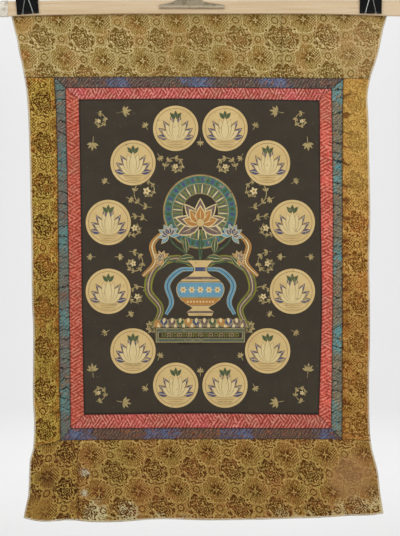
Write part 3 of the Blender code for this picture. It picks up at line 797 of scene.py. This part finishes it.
# %% [markdown]
# ## The silk borders
#
# Two narrow frames of figured silk lie round the painting, mitred at their corners like a picture frame.
# The inner one is faded red with a fret of slanting lines. The outer one is slate above and below and
# teal down the sides, with woven clouds of a second blue. Narrow strips of thin silk pucker where a
# heavier cloth pulls at them, most of all down the right side. The puckers are real waves in the mesh,
# only a few mm apart.

# %% Pucker a strip
SILK_PITCH = 1.3 * MM      # between the points of its mesh
PUCKERS_WANDER = (83 * MM, 31 * MM)  # the runs along a strip over which its puckers shift
PUCKERS_SWELL = 127 * MM   # the run over which they grow and fade
QUIET_SEAM = 4 * MM        # they die away this near a seam
Puckers = namedtuple("Puckers", "height apart slant")


def pucker(puckers, down):
    """The rule that raises a strip in small uneven waves, across its length and quiet at its seams."""
    def relief(x, depth, ways):
        along, across = (depth, x) if down else (x, depth)
        turns = (along + puckers.slant * across) / puckers.apart
        far, near = PUCKERS_WANDER
        uneven = np.sin(math.tau * along / far + 1.1) + np.sin(math.tau * along / near)
        waves = np.sin(math.tau * turns + 1.7 * uneven) + 0.5 * np.sin(math.tau * turns * 1.63 + 2.0)
        strength = 0.35 + 0.65 * np.abs(np.sin(math.tau * along / PUCKERS_SWELL + 0.6))
        return puckers.height * waves * strength * ramp(ways.min(axis=0), 0.0, QUIET_SEAM)

    return relief


def along_strip(down):
    """The rule that lays the weave along a strip, in mm."""
    return lambda x, depth, _: (depth / MM, x / MM) if down else (x / MM, depth / MM)


# %% Chart and dye the red silk
FRET = """
p = u * cosine + v * sine + (sway - 0.5) * 5
q = u * cosine - v * sine + (drift - 0.5) * 5
turn = fract((floor(p / block) + floor(q / block)) / 2) * 2
slanting = abs(fract(mix(turn, p, q) / pitch + (wear - 0.5) * 0.4) - 0.5) * 2
fret = ramp(slanting + (fleck - 0.5) * 0.25, 0.16, 0.66)
light = ramp(slanting * 0.7 + (fleck - 0.5) * 0.9 + (wear - 0.5) * 0.8, 0.34, 0.78) * 0.70
bright = ramp(patch + (fleck - 0.5) * 0.8, 0.50, 0.66) * 0.7
dull = ramp(0.5 - patch + (wear - 0.5) * 0.8, 0.02, 0.28) * 0.55
shadow = ramp(seam, 1.3, 0.2) * 0.75
pit = ramp(seam, 3.2, 0.8) * ramp(abs(fract(u / stitch) - 0.5), 0.20, 0.05) * 0.6
height = fret * 0.7 + fleck * 0.3
"""
FRET_SLANT = {"cosine": 0.866, "sine": 0.5}  # of the 30 degrees at which the fret's lines rise
FRET_BLOCK = 15.0          # mm along a side of the lozenges in which the fret turns
FRET_PITCH = 4.4           # mm between its lines
SIDE_PITCH = 4.6           # the same in the side strips, which are pulled long


def figured_red(name, pitch, dark, ground, light, bright, dull):
    """Faded red silk with a fret of slanting lines, woven in lozenges that turn, with painted shade at its
    stitch pits and along its seams.
    """
    material, tree, shader, facts = begin_cloth(name, {
        RAGGED: {"patch": 0.030, "wear": 0.010}, SOFT: {"sway": 0.020, "drift": 0.016},
        ROUND: {"fleck": 0.0028}})
    facts = work_out(tree, FRET, block=FRET_BLOCK, pitch=pitch, stitch=STITCH, **FRET_SLANT, **facts)
    # Painted shade: dark dots at the stitch pits and a dark line along each seam.
    colour = layered(
        tree, facts, dark, fret=ground, dull=dull, bright=bright, light=light, pit=dark, shadow="#3c1c18")
    dress(tree, shader, colour, facts["height"], SILK_RELIEF)
    return material


# %% Chart and dye the blue silk
CLOUDS = """
slanted = u + v * 0.8
woven = sin((u - start) * 6.28318 / clouds_apart) + (patch - 0.5) * 3.0 + (strokes - 0.5) * 3.0
cobalt = ramp(woven, -0.15, 1.25) * 0.82
gleam = ramp(woven + (strokes - 0.5) * 3 + (fleck - 0.5) * 2.6, 0.80, 1.60) * 0.5
tinted = ramp(hue, 0.46, 0.58)
rusty = ramp(speck + (patch - 0.5) * 0.5, 0.56, 0.66) * 0.8
stroke = abs(fract(slanted / slubs_apart + (strokes - 0.5) * 3.0 + (hue - 0.5) * 1.5) - 0.5)
line = ramp(stroke + (fleck - 0.5) * 0.5, 0.20, 0.04) * lined
slub = ramp(0.5 - stroke + (fleck - 0.5) * 0.6, 0.18, 0.04) * lined * 0.7
folded = ramp(abs(fract(u / creases_apart + (patch - 0.5) * 2.4) - 0.5), 0.075, 0.030)
crease = folded * ramp(strokes, 0.36, 0.52) * creased
pit = ramp(seam, 3.4, 0.8) * ramp(abs(fract(u / stitch) - 0.5), 0.24, 0.06) * 0.7
shadow = ramp(seam, 1.3, 0.2) * 0.75
height = stroke + fleck * 0.5 - crease
"""
CLOUD_SIZES = {"clouds_apart": 119.0, "slubs_apart": 5.2, "creases_apart": 15.0}  # mm


def clouded_blue(name, start, lined, creased, ground, tint, cloud, gleam, rust, slub):
    """Faded blue silk: clouds of a second colour, a slanting figure, slubs and specks of rust, with painted
    shade in lines of creases, at stitch pits and along its seams.
    """
    material, tree, shader, facts = begin_cloth(name, {
        RAGGED: {"patch": 0.030, "hue": 0.014, "speck": 0.006, "strokes": 0.011}, ROUND: {"fleck": 0.0028}})
    facts = work_out(
        tree, CLOUDS, start=start, stitch=STITCH, lined=lined, creased=creased, **CLOUD_SIZES, **facts)
    # Painted shade: dark lines in the creases, dark dots at the stitch pits and a dark line along each seam.
    colour = layered(
        tree, facts, ground, tinted=tint, cobalt=cloud, gleam=gleam, rusty=rust, line="#2b2829", slub=slub,
        crease="#1f2120", pit="#33302b", shadow="#221d1c")
    dress(tree, shader, colour, facts["height"], SILK_RELIEF)
    return material


# %% Sew the two borders
def straight(start, end):
    """A straight line between two corners, read at the first number of each."""
    return lambda t: start[1] + (end[1] - start[1]) * (t - start[0]) / (end[0] - start[0])


def meet(down, across):
    """The corner (x, depth) where a seam that runs down meets one that runs across."""
    x = 0.0
    for _ in range(SETTLE_PASSES):
        x = float(down(across(x)))
    return x, float(across(x))


def flip(corner):
    """A corner as (depth, x)."""
    return corner[1], corner[0]


def mitred(outer, inner):
    """The four strips of a frame between two sets of seams: a label and four lines for each."""
    corner = {(side, end): (meet(outer[side], outer[end]), meet(inner[side], inner[end]))
              for side in (LEFT, RIGHT) for end in (TOP, BOTTOM)}
    across = {key: straight(*pair) for key, pair in corner.items()}
    down = {key: straight(*(flip(spot) for spot in pair)) for key, pair in corner.items()}
    return {
        "top": (down[LEFT, TOP], down[RIGHT, TOP], outer[TOP], inner[TOP]),
        "bottom": (down[LEFT, BOTTOM], down[RIGHT, BOTTOM], inner[BOTTOM], outer[BOTTOM]),
        "left": (outer[LEFT], inner[LEFT], across[LEFT, TOP], across[LEFT, BOTTOM]),
        "right": (inner[RIGHT], outer[RIGHT], across[RIGHT, TOP], across[RIGHT, BOTTOM]),
    }


SIDE_PUCKERS = {
    "top": Puckers(0.12 * MM, 11 * MM, 0.6), "bottom": Puckers(0.15 * MM, 12 * MM, 0.5),
    "left": Puckers(0.42 * MM, 8.0 * MM, 0.5), "right": Puckers(0.60 * MM, 7.0 * MM, -0.6),
}
# In both borders the right strip is coloured a little lighter than the left one.
REDS = {  # the pitch of the fret, then the dark, ground, light, bright and dull red
    "top": (FRET_PITCH, "#8c352f", "#b8604f", "#e0a593", "#cb5560", "#9d5f4c"),
    "bottom": (FRET_PITCH, "#86332a", "#b9604f", "#de9b87", "#c85459", "#a26452"),
    "left": (SIDE_PITCH, "#92392c", "#b85c48", "#d68e74", "#cc5a48", "#9b5f46"),
    "right": (SIDE_PITCH, "#9c3a2f", "#c86350", "#e39a84", "#e05f52", "#b26a54"),
}
BLUES = {  # name, where the first cloud starts in mm, how much is lined, how strong the painted shade of its creases is, and the dyes
    "top": ("slate", -154.0, 0.62, 0.2, "#5b4d43", "#5f4740", "#4d5a80", "#7389ac", "#955c36", "#968b7c"),
    "bottom": ("slate", -205.0, 0.60, 0.2, "#5f493b", "#66473a", "#4a5275", "#677a98", "#905330", "#8f7864"),
    "left": ("teal", 60.0, 0.40, 1.0, "#646a5f", "#6c6058", "#527270", "#6a9690", "#84644a", "#a3a494"),
    "right": ("teal", 83.0, 0.55, 0.9, "#7b735e", "#69695c", "#57807e", "#62a2a8", "#8c6a4c", "#b4a884"),
}
silk_back = cloth_back("silk_wrong_side", "#857366", "#5e4f4a")


def sew_border(name, outer, inner, finishes):
    """Cut and hang the four mitred strips between two frames of seams."""
    for side, sides in mitred(outer, inner).items():
        down = side in ("left", "right")
        cut_panel(f"{name}_{side}", f"{name}_{side}_silk", sides, SILK_PITCH, along_strip(down),
                  (finishes[side], silk_back), relief=pucker(SIDE_PUCKERS[side], down))


sew_border("red", MIDDLE, INNER, {
    side: figured_red("rose_silk_" + side, *dyes) for side, dyes in REDS.items()})
sew_border("blue", OUTER, MIDDLE, {
    side: clouded_blue(f"{hue}_silk_{side}", *dyes) for side, (hue, *dyes) in BLUES.items()})
print(len(SHEETS), "pieces of cloth hang")

# %% [markdown]
# ## The painting
#
# The cotton is sized, rubbed smooth and given a bone-black ground. On it lie powdered gold in glue and a
# few mineral colours, matt and a little rubbed. The picture here is a plain ornament drawn for this
# lesson: a vase of lotuses under a halo, in a ring of gold discs, with scrolling leaves. Patches of paint
# are outlines in mm, with the middle of the field as zero, and each is a list of complex numbers, because
# turning one is then a product.

# %% Make the brush shapes
PICTURE = []               # patches of paint, the lowest first: the paint's name and its outline


def lay_on(paint, outline):
    """Put one patch of paint on the picture."""
    PICTURE.append((paint, outline))


def mirrored(outline):
    """The outline on the picture's other side, still anticlockwise."""
    return [-spot.conjugate() for spot in reversed(outline)]


def lay_both(paint, outline):
    """Put a patch and its mirror image on the picture."""
    lay_on(paint, outline)
    lay_on(paint, mirrored(outline))


def mirror_from(first):
    """Repeat on the other side every patch from that number on."""
    for paint, outline in PICTURE[first:]:
        lay_on(paint, mirrored(outline))


def turn(share):
    """A direction, as a share of a full turn from the right, anticlockwise."""
    return complex(math.cos(math.tau * share), math.sin(math.tau * share))


def disc(centre, radius, steps=36):
    """A round patch."""
    return [centre + radius * turn(step / steps) for step in range(steps)]


def petal(root, tip, width, steps=6):
    """A pointed leaf between two spots, widest a little below its middle."""
    run = tip - root
    side = 1j * run / abs(run) * width / 2
    half = [(step / steps, math.sin(math.pi * (step / steps) ** 0.85)) for step in range(1, steps)]
    return ([root] + [root + run * s - side * w for s, w in half] + [tip]
            + [root + run * s + side * w for s, w in reversed(half)])


def flowing(spots, steps=7):
    """A smooth run of spots through a few."""
    ends = [2 * spots[0] - spots[1], *spots, 2 * spots[-1] - spots[-2]]
    run = []
    for a, b, c, d in zip(ends, ends[1:], ends[2:], ends[3:]):
        for step in range(steps):
            s = step / steps
            run.append(0.5 * (2 * b + (c - a) * s + (2 * a - 5 * b + 4 * c - d) * s * s
                              + (3 * b - a - 3 * c + d) * s ** 3))
    return [*run, spots[-1]]


def brush(spots, width, thin=0.35):
    """One stroke along some spots, thinner at both ends."""
    left, right = [], []
    for index, spot in enumerate(spots):
        ahead = spots[min(index + 1, len(spots) - 1)] - spots[max(index - 1, 0)]
        press = thin + (1 - thin) * math.sin(math.pi * index / (len(spots) - 1))
        side = 1j * ahead / abs(ahead) * width / 2 * press
        left.append(spot + side)
        right.append(spot - side)
    return right + left[::-1]


# %% Paint scrolling leaves
def leaf_pair(spot, ahead, length, width):
    """Two gold leaves that fork from a stem, with a dark rib in the longer one."""
    for side, long in ((0.11, 1.0), (-0.13, 0.8)):
        tip = spot + ahead * turn(side) * length * long
        lay_on("line", petal(spot, tip, width))
    lay_on("umber", brush([spot + ahead * turn(0.11) * length * share for share in (0.2, 0.5, 0.8)], 0.7))


def scroll(centre, radius, start, turns, leaves=9, length=8.0):
    """A stem that winds inwards round a centre, with leaves on both sides and a bud at its heart."""
    stem = []
    for step in range(26):
        share = step / 25
        stem.append(centre + radius * (1 - 0.82 * share ** 0.8) * turn(start + turns * share))
    lay_on("line", brush(stem, 1.5, thin=0.5))
    for leaf in range(leaves):
        index = 1 + round(leaf * 22 / leaves)
        ahead = stem[index + 1] - stem[index]
        shrink = 1 - 0.5 * leaf / leaves
        leaf_pair(stem[index], ahead / abs(ahead), length * shrink, 3.6 * shrink)
    for spoke in range(5):
        lay_on("pale", petal(centre, centre + radius * 0.26 * turn(spoke / 5 + start), radius * 0.15))
    lay_on("shade", disc(centre, radius * 0.07, 10))


def sprig(root, way, size):
    """A small spray of five leaves on a short stem."""
    lay_on("line", brush([root, root + way * size * 0.5, root + way * size], 1.0, thin=0.6))
    for side in (-0.2, -0.1, 0.0, 0.1, 0.2):
        heart = root + way * size * 0.7
        lay_on("line", petal(heart, heart + way * turn(side) * size * (0.85 - abs(side)), size * 0.26))


SCROLLS = (  # centre, radius, start and turns of the ones on the right; the left ones mirror them
    (complex(78, 96), 25, 0.70, 1.25), (complex(96, 42), 21, 0.42, -1.2), (complex(36, 132), 17, 0.95, 1.2),
    (complex(98, -10), 19, 0.20, 1.2), (complex(92, -58), 20, 0.55, -1.2), (complex(70, -100), 16, 0.30, 1.1),
)
for centre, radius, start, turns in SCROLLS:
    first = len(PICTURE)
    scroll(centre, radius, start, turns)
    mirror_from(first)
print(len(PICTURE), "patches of foliage")

# %% Paint the halo and its rays
HALO = complex(0, 66)
for radius, paint in ((54.5, "shade"), (53.5, "line"), (52.2, "teal"), (41.5, "line"), (40.5, "grey")):
    lay_on(paint, disc(HALO, radius, 60))
RAYS = 40
for ray in range(RAYS):
    way = turn((ray + 0.5) / RAYS)
    dash = [HALO + way * reach for reach in (26, 33, 40)]
    lay_on("pale" if ray % 2 else "lime", brush(dash, 2.0, thin=0.6))
    lay_on("blue" if ray % 2 else "green", petal(HALO + way * 43, HALO + way * 51.5, 5.0))
lay_on("line", disc(HALO, 27, 40))
lay_on("ground", disc(HALO, 26, 40))
print(RAYS, "rays")

# %% Paint the ribbons that fall from the vase
RIBBONS = (  # the way of the right-hand ones, and their stripes from the widest down
    ((8 - 14j, 34 - 2j, 66 - 16j, 76 - 48j, 58 - 76j, 70 - 104j),
     (("umber", 13.0), ("lime", 12.0), ("umber", 6.6), ("mauve", 5.4), ("pale", 0.9))),
    ((6 - 18j, 30 - 20j, 48 - 40j, 42 - 66j, 50 - 84j),
     (("line", 8.6), ("sky", 7.4), ("umber", 1.0))),
    ((50 + 40j, 70 + 18j, 66 - 8j, 84 - 28j),
     (("shade", 9.4), ("orange", 8.2), ("umber", 3.6), ("pale", 2.4))),
)
for spots, stripes in RIBBONS:
    for paint, width in stripes:
        lay_both(paint, brush(flowing(spots, 9), width, thin=0.55))
print(2 * len(RIBBONS), "ribbons")

# %% Paint the lotuses
def lotus(centre, size, up, outer, inner):
    """A lotus seen from the side: a fan of petals in two colours, each with a gold edge."""
    for paint, reach, spread, count, wide in ((outer, 1.0, 0.40, 7, 0.46), (inner, 0.72, 0.26, 5, 0.40)):
        for place in sorted(range(count), key=lambda index: -abs(index - (count - 1) / 2)):
            way = up * turn(spread * (place / (count - 1) - 0.5) * 1.6)
            tip = centre + way * size * reach
            lay_on("pale", petal(centre, tip, size * wide))
            lay_on(paint, petal(centre + way * size * 0.05, tip - way * size * 0.07, size * wide * 0.80))
            vein = [centre + way * size * share * reach for share in (0.25, 0.5, 0.75)]
            lay_on("pale", brush(vein, size * 0.03))


STEMS = ((0 - 8j, -2 + 14j, 0 + 40j), (2 - 8j, 22 + 6j, 40 + 20j, 46 + 34j), (4 - 10j, 30 - 8j, 56 - 2j))
for spots in STEMS:
    lay_both("green", brush(flowing(spots, 6), 2.6, thin=0.6))
for root, tip, width in ((10 + 0j, 34 - 4j, 11), (20 + 6j, 22 + 30j, 10), (44 + 2j, 62 - 20j, 9)):
    lay_both("line", petal(root, tip, width))
    lay_both("green", petal(root, tip, width * 0.78))
    lay_both("pale", brush([root, (root + tip) / 2, tip], 0.8))
lotus(0 + 48j, 38, 1j, "mauve", "orange")
for side, share in ((1, 0.18), (-1, 0.32)):
    lotus(complex(46 * side, 32), 17, turn(share), "sky", "blue")
for side, share in ((1, 0.08), (-1, 0.42)):
    lotus(complex(56 * side, -2), 12, turn(share), "orange", "mauve")
lay_on("shade", disc(0 + 50j, 6.5, 18))
lay_on("gold", disc(0 + 50j, 5.5, 18))
print(len(PICTURE), "patches with the lotuses")

# %% Paint the vase
VASE = (  # half the vase's width at a height, both in mm
    (-86, 17), (-83, 22), (-80, 19), (-77, 11), (-73, 13), (-66, 25), (-56, 33), (-44, 35), (-34, 28),
    (-27, 15), (-22, 10), (-14, 9), (-10, 14), (-7, 19), (-5, 19),
)
vase_half = line(VASE, 1.0)


def belt(low, high, inset, steps=14):
    """The vase's own outline between two heights, brought in a little."""
    heights = [low + (high - low) * step / steps for step in range(steps + 1)]
    right = [complex(float(vase_half(height)) - inset, height) for height in heights]
    return right + [-spot.conjugate() for spot in reversed(right)]


BELTS = (
    ("umber", -87, -4, -1.0), ("gold", -86, -5, 0.0), ("mauve", -82, -79, 1.0), ("orange", -70, -61, 1.4),
    ("line", -60, -36, 1.0), ("sky", -58.5, -37.5, 1.2), ("mauve", -33, -29, 1.2), ("blue", -21, -15, 1.0),
    ("umber", -71.2, -70.4, 0.5), ("umber", -60.6, -60.0, 0.5), ("umber", -35.8, -35.2, 0.5),
)
for paint, *belt_sizes in BELTS:
    lay_on(paint, belt(*belt_sizes))
for place in range(-2, 3):
    heart = complex(place * 12.5, -48)
    for spoke in range(6):
        lay_on("pale", petal(heart, heart + 5.4 * turn(spoke / 6), 3.0, 4))
    lay_on("orange", disc(heart, 1.7, 8))
for place in range(-4, 5):
    lay_on("pale", disc(complex(place * 4.6, -65.5), 1.5, 8))
print(len(BELTS), "belts round the vase")

# %% Paint the lotus seat and its plinth
SEAT_PAINTS = ("orange", "blue", "mauve", "green")
for row, (base, reach, count, half) in enumerate(((-105, 15, 11, 60), (-89, -13, 10, 52))):
    for place in range(count):
        root = complex(half * (2 * place / (count - 1) - 1), base)
        tip = root + complex(root.real * 0.06, reach)
        lay_on("line", petal(root, tip, 13.5))
        lay_on(SEAT_PAINTS[(place + row) % 4], petal(root, tip - complex(0, reach * 0.08), 10.6))
        lay_on("pale", petal(root, root + (tip - root) * 0.62, 4.4))
PLINTH = (  # a paint, half its width, and its lower and upper edge
    ("umber", 66, -126, -103), ("line", 65, -125, -104), ("grey", 64, -124, -105),
    ("line", 62, -119.5, -109.5), ("ground", 61, -118.8, -110.2),
)
for paint, half, low, high in PLINTH:
    lay_on(paint, [complex(-half, low), complex(half, low), complex(half, high), complex(-half, high)])
FRET_STEP = 7.6
for place in range(-7, 8):
    left = complex(place * FRET_STEP - 2.6, -117.4)
    hook = [left, left + 5.4j, left + 5.2 + 5.4j, left + 5.2 + 1.6j, left + 2.2 + 1.6j, left + 2.2 + 3.6j]
    lay_on("lime" if place % 2 else "line", brush(hook, 1.3, thin=0.8))
print(len(PICTURE), "patches with the seat")

# %% Paint the ring of gold discs
DISC_RADIUS = 33.0
RING = (139.0, 194.0)      # half the ring's width and height, to the middles of its discs
DISCS = 12


def gold_disc(centre, size, leaves):
    """A gold disc with a pale lotus bud between blue leaves, under a crown of green ones."""
    for paint, share in (("umber", 1.035), ("gold", 1.0), ("shade", 0.885), ("gold", 0.862)):
        lay_on(paint, disc(centre, size * share, 48))
    foot = centre - 0.52j * size
    for side in (-1, 1):
        for number in range(leaves):
            way = turn(0.25 - side * (0.215 - 0.062 * number))
            tip = foot + way * size * (0.84 + 0.10 * number)
            lay_on("shade", petal(foot + way * size * 0.34, tip, size * 0.27))
            lay_on("blue", petal(foot + way * size * 0.36, tip - way * size * 0.02, size * 0.22))
            lay_on("gold", brush([foot + way * size * 0.4, tip - way * size * 0.08], size * 0.03, thin=1.0))
    for share in (-0.08, 0.0, 0.08):
        heart = centre + 0.40j * size
        lay_on("shade", petal(heart, heart + turn(0.25 + share * 1.4) * size * 0.40, size * 0.19))
        lay_on("green", petal(heart, heart + turn(0.25 + share * 1.4) * size * 0.38, size * 0.15))
    for share in (0.17, -0.17, 0.10, -0.10, 0.045, -0.045, 0.0):
        way = turn(0.25 + share * 0.9)
        tip = foot + way * size * (1.04 - abs(share) * 1.6)
        lay_on("shade", petal(foot, tip, size * 0.34))
        lay_on("pale", petal(foot, tip - way * size * 0.025, size * 0.30))
    for step in range(4):
        low = foot - complex(0, size * (0.03 + 0.075 * step))
        wide = size * (0.46 - 0.05 * step)
        lay_on("shade", brush([low - wide, low - 0.02j * size, low + wide], size * 0.026, thin=0.5))


for number in range(DISCS):
    way = turn((number + 0.5) / DISCS)
    centre = complex(RING[0] * way.real, RING[1] * way.imag)
    gold_disc(centre, DISC_RADIUS, 3 + number % 2)
for number in range(DISCS):
    way = turn(number / DISCS)
    for stretch in (0.90, 1.10):
        spot = complex(RING[0] * way.real, RING[1] * way.imag) * stretch
        if abs(spot.real) < 160 and abs(spot.imag) < 212:
            sprig(spot, way if stretch > 1 else -way, 9.0)
for corner in (152 + 208j, 152 - 208j):
    first = len(PICTURE)
    up = 1 if corner.imag > 0 else -1
    scroll(corner - complex(4, 10 * up), 13, 0.2 * up, 1.1 * up, leaves=6, length=6.5)
    sprig(corner - complex(30, -2 * up), complex(-1, 0.2 * up), 14.0)
    sprig(corner - complex(-4, 32 * up), complex(0.1, -up), 14.0)
    mirror_from(first)
print(len(PICTURE), "patches of paint")

# %% [markdown]
# Each paint is its own finish, because a thangka's colours differ in more than hue. Azurite and malachite
# are coarse ground stones and look patchy, powdered gold keeps a faint lustre, and the black is thin and
# scuffed. All are matt, bound with hide glue. Rolling has cracked and rubbed them along level lines.

# %% Mix the paints
PAINT = """
streak = ramp(crack, 0.60, 0.74) * 0.55
worn = ramp(wear + (fleck - 0.5) * 0.45, limit, limit + 0.12) * 0.8
cloudy = (patch - 0.3) * 1.3
grit = ramp(fleck, 0.52, 0.70) * 0.45
shadow = ramp(seam, 3.2, 0.4) * 0.7
height = fleck * 0.5 + crack * 0.5
"""
PAINT_RELIEF = 0.12 * MM
LEVEL_CRACKS = (12.0, 1.0, 420.0)  # how often cracks start per metre across, through and down
Paint = namedtuple("Paint", "name colour second rubbed limit lustre")
PAINTS = {
    "ground": Paint("bone_black_ground", "#342c20", "#40382a", "#544b38", 0.66, 0.0),
    "gold": Paint("powdered_gold", "#d8bd84", "#c4a569", "#9c7e50", 0.66, 0.15),
    "pale": Paint("pale_powdered_gold", "#decb98", "#ccb27a", "#957a4e", 0.62, 0.15),
    "line": Paint("gold_ink", "#b39f6c", "#8d7a4c", "#4c4636", 0.56, 0.15),
    "shade": Paint("ochre_ink", "#8b6c3e", "#a5874f", "#6b5330", 0.60, 0.0),
    "blue": Paint("azurite", "#4a5074", "#3c4258", "#a8946a", 0.53, 0.0),
    "sky": Paint("pale_azurite", "#6c9cb0", "#5a8598", "#8f9a88", 0.58, 0.0),
    "green": Paint("malachite", "#465c3c", "#374a35", "#7c7c52", 0.58, 0.0),
    "teal": Paint("verdigris", "#4a7564", "#3a5c52", "#7d8a66", 0.55, 0.0),
    "orange": Paint("red_lead", "#b8813f", "#a5692f", "#8e7a4e", 0.58, 0.0),
    "mauve": Paint("lac_wash", "#74605a", "#5c4a46", "#93805f", 0.56, 0.0),
    "lime": Paint("orpiment_with_indigo", "#84842e", "#68692c", "#55523a", 0.58, 0.0),
    "grey": Paint("celadon_wash", "#5d6650", "#4b5344", "#837c5c", 0.56, 0.0),
    "umber": Paint("umber_ink", "#3a2d20", "#2c241c", "#5a4a34", 0.62, 0.0),
}


def mixed(paint):
    """One paint: two tones in clouds, grit, level cracks and a rubbed tone where it has worn."""
    glue = {"Roughness": 0.68, "IOR": 1.5, "Specular IOR Level": 0.3, "Metallic": paint.lustre}
    material, tree, shader, facts = begin_cloth(
        paint.name, {RAGGED: {"patch": 0.022, "fleck": 0.0018, "wear": 0.009}}, glue)
    flat = add(tree, "ShaderNodeVectorMath", {0: facts["place"], 1: LEVEL_CRACKS}, operation="MULTIPLY")
    facts |= clouds(tree, flat.outputs[0], 2.0, crack=1.0)
    facts = work_out(tree, PAINT, limit=paint.limit, **facts)
    colour = layered(
        tree, facts, paint.colour, cloudy=paint.second, grit=paint.second, streak=paint.second,
        worn=paint.rubbed, shadow="#1d1714")
    dress(tree, shader, colour, facts["height"], PAINT_RELIEF)
    return material


# %% Cut the painted panel along every outline
FIELD_X = 0.5              # mm from the scroll's middle line to the middle of the field
FIELD_DEPTH = 354.0        # mm
FIELD_SIZE = (350, 458)    # mm across and down
WEAVE_STEP = 4.5           # mm between the points that let the plain ground follow the cloth


def on_picture(u, v):
    """The spots a share u across and v down the panel, in mm of the picture."""
    x, depth = settle(INNER, u, v)
    return [complex(a, b) for a, b in zip(x / MM - FIELD_X, FIELD_DEPTH - depth / MM)]


def field_outline():
    """The panel's own edge, anticlockwise from its lower left corner."""
    share = np.linspace(0.0, 1.0, 100, endpoint=False)
    zero, one = np.zeros_like(share), np.ones_like(share)
    u = np.concatenate((share, one, 1 - share, zero))
    return on_picture(u, np.concatenate((one, 1 - share, zero, share)))


def ground_points():
    """An even grid of points that stay inside the panel."""
    u, v = np.meshgrid(*(np.linspace(0.01, 0.99, round(size / WEAVE_STEP)) for size in FIELD_SIZE))
    return on_picture(u.ravel(), v.ravel())


outlines = [field_outline()] + [outline for _, outline in PICTURE]
names = list(PAINTS)
paint_numbers = [names.index("ground")] + [names.index(paint) for paint, _ in PICTURE]
spots = [spot for outline in outlines for spot in outline]
faces, first = [], 0
for outline in outlines:
    faces.append(range(first, first + len(outline)))
    first += len(outline)
spots += ground_points()
points, _, triangles, _, _, covers = delaunay_2d_cdt(
    [Vector((spot.real, spot.imag)) for spot in spots], [], faces, 1, 1e-4)
kept = [(face, max(cover)) for face, cover in zip(triangles, covers) if 0 in cover]
panel = bpy.data.meshes.new("painting_cloth")
panel.from_pydata([(point.x, point.y, 0.0) for point in points], [], [face for face, _ in kept])
panel.polygons.foreach_set("material_index", [paint_numbers[top] for _, top in kept])
where = np.array([(point.x, point.y) for point in points]).T
panel_x, panel_depth = (where[0] + FIELD_X) * MM, (FIELD_DEPTH - where[1]) * MM
give_weave(panel, *where)
canvas = cloth_back("cotton_wrong_side", "#b5a88c", "#8c7d60")
make_sheet(panel, "painting", panel_x, panel_depth, ways_to_edges(INNER, panel_x, panel_depth), (),
           np.zeros(len(points)), [mixed(paint) for paint in PAINTS.values()] + [canvas])
print("the painting has", len(kept), "faces in", len(outlines), "outlines")

# %% [markdown]
# ## What it hangs from
#
# The lath, its tape, the clips and the clamp stay the solids they are, because wood and pressed metal
# have their true shape already. They only get their surfaces. A planed lath of pale wood is matt, with a
# fine grain that runs along it. The tape is pale paper, greyed in patches. The clips are spring steel
# under black enamel, which is glossy, and their wires and the clamp are nickel plate: bright on the
# wires, dulled by years of handling on the clamp.


# %% Finish the hardware
GRAIN_DRAWN = 0.035        # the lath's length as the noise sees it, so that blotches become long streaks


def grained_wood(name, dark, ground, light):
    """Pale planed wood: long streaks of grain and a few darker pores."""
    material, tree, shader = new_finish(name, {"Roughness": 0.55, "IOR": 1.5, "Specular IOR Level": 0.3})
    place = add(tree, "ShaderNodeTexCoord").outputs["Object"]
    along = add(tree, "ShaderNodeMapping", {"Vector": place, "Scale": (GRAIN_DRAWN, 1.0, 1.0)}).outputs[0]
    facts = work_out(tree, """
pale = ramp(streak, 0.35, 0.65) * 0.7
pore = ramp(grain, 0.52, 0.70) * 0.35
""", **clouds(tree, along, grain=0.0022, streak=0.007))
    colour = layered(tree, facts, ground, pale=light, pore=dark)
    dress(tree, shader, colour, facts["grain"], 0.15 * MM)
    return material


def mottled(name, ground, worn, size, share, depth, constants):
    """A plain surface with blotches of wear: for tape, enamel and plated steel."""
    material, tree, shader = new_finish(name, constants)
    place = add(tree, "ShaderNodeTexCoord").outputs["Object"]
    facts = work_out(tree, "dulled = ramp(blotch + (grit - 0.5) * 0.8, 0.42, 0.66) * share", share=share,
                     **clouds(tree, place, blotch=size, grit=size / 8))
    dress(tree, shader, layered(tree, facts, ground, dulled=worn), facts["grit"], depth)
    return material


PAPER = {"Roughness": 0.75, "Specular IOR Level": 0.3}
ENAMEL = {"Roughness": 0.30, "Specular IOR Level": 0.25}
PLATED = {"Metallic": 1.0, "Roughness": 0.32}
DULL_PLATE = {"Metallic": 1.0, "Roughness": 0.45}
HARDWARE = {
    "pale_wood": grained_wood("planed_pine", "#b4936d", "#d0b691", "#ddc7a6"),
    "paper_tape": mottled("wound_paper_tape", "#e6dfd0", "#a39a89", 0.006, 0.8, 0.10 * MM, PAPER),
    "black_spring_steel": mottled("black_enamel", "#050505", "#11100f", 0.008, 0.6, 0.02 * MM, ENAMEL),
    "nickelled_wire": mottled("bright_nickel_wire", "#8d908c", "#6a6b67", 0.010, 0.5, 0.02 * MM, PLATED),
    "clamp_steel": mottled("dulled_nickel_plate", "#c4b59a", "#998a6f", 0.012, 0.8, 0.05 * MM, DULL_PLATE),
}
kept = [node for node in SLOTS if node not in {sheet[1] for sheet in SHEETS}]
for node in kept:
    solid = frame["nodes"][node]
    solid.data.materials.clear()
    solid.data.materials.append(HARDWARE[SLOTS[node]])
print(len(kept), "solids keep their shape and get a finish")

# %% [markdown]
# ## Ride the pieces on one body
#
# Everything hangs from one clamp and nothing moves by itself, so each piece rides on the one body. Each
# cloth stands for its solid, which stays in the frame for collision but is hidden, and the size it was cut
# to is printed.

# %% Ride and replace
for piece, node, width, length, area in SHEETS:
    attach(piece, "root")
    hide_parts(node)
    print(f"{node}: {width * 1000:.0f} x {length * 1000:.0f} mm, {area * 10000:.0f} cm2")
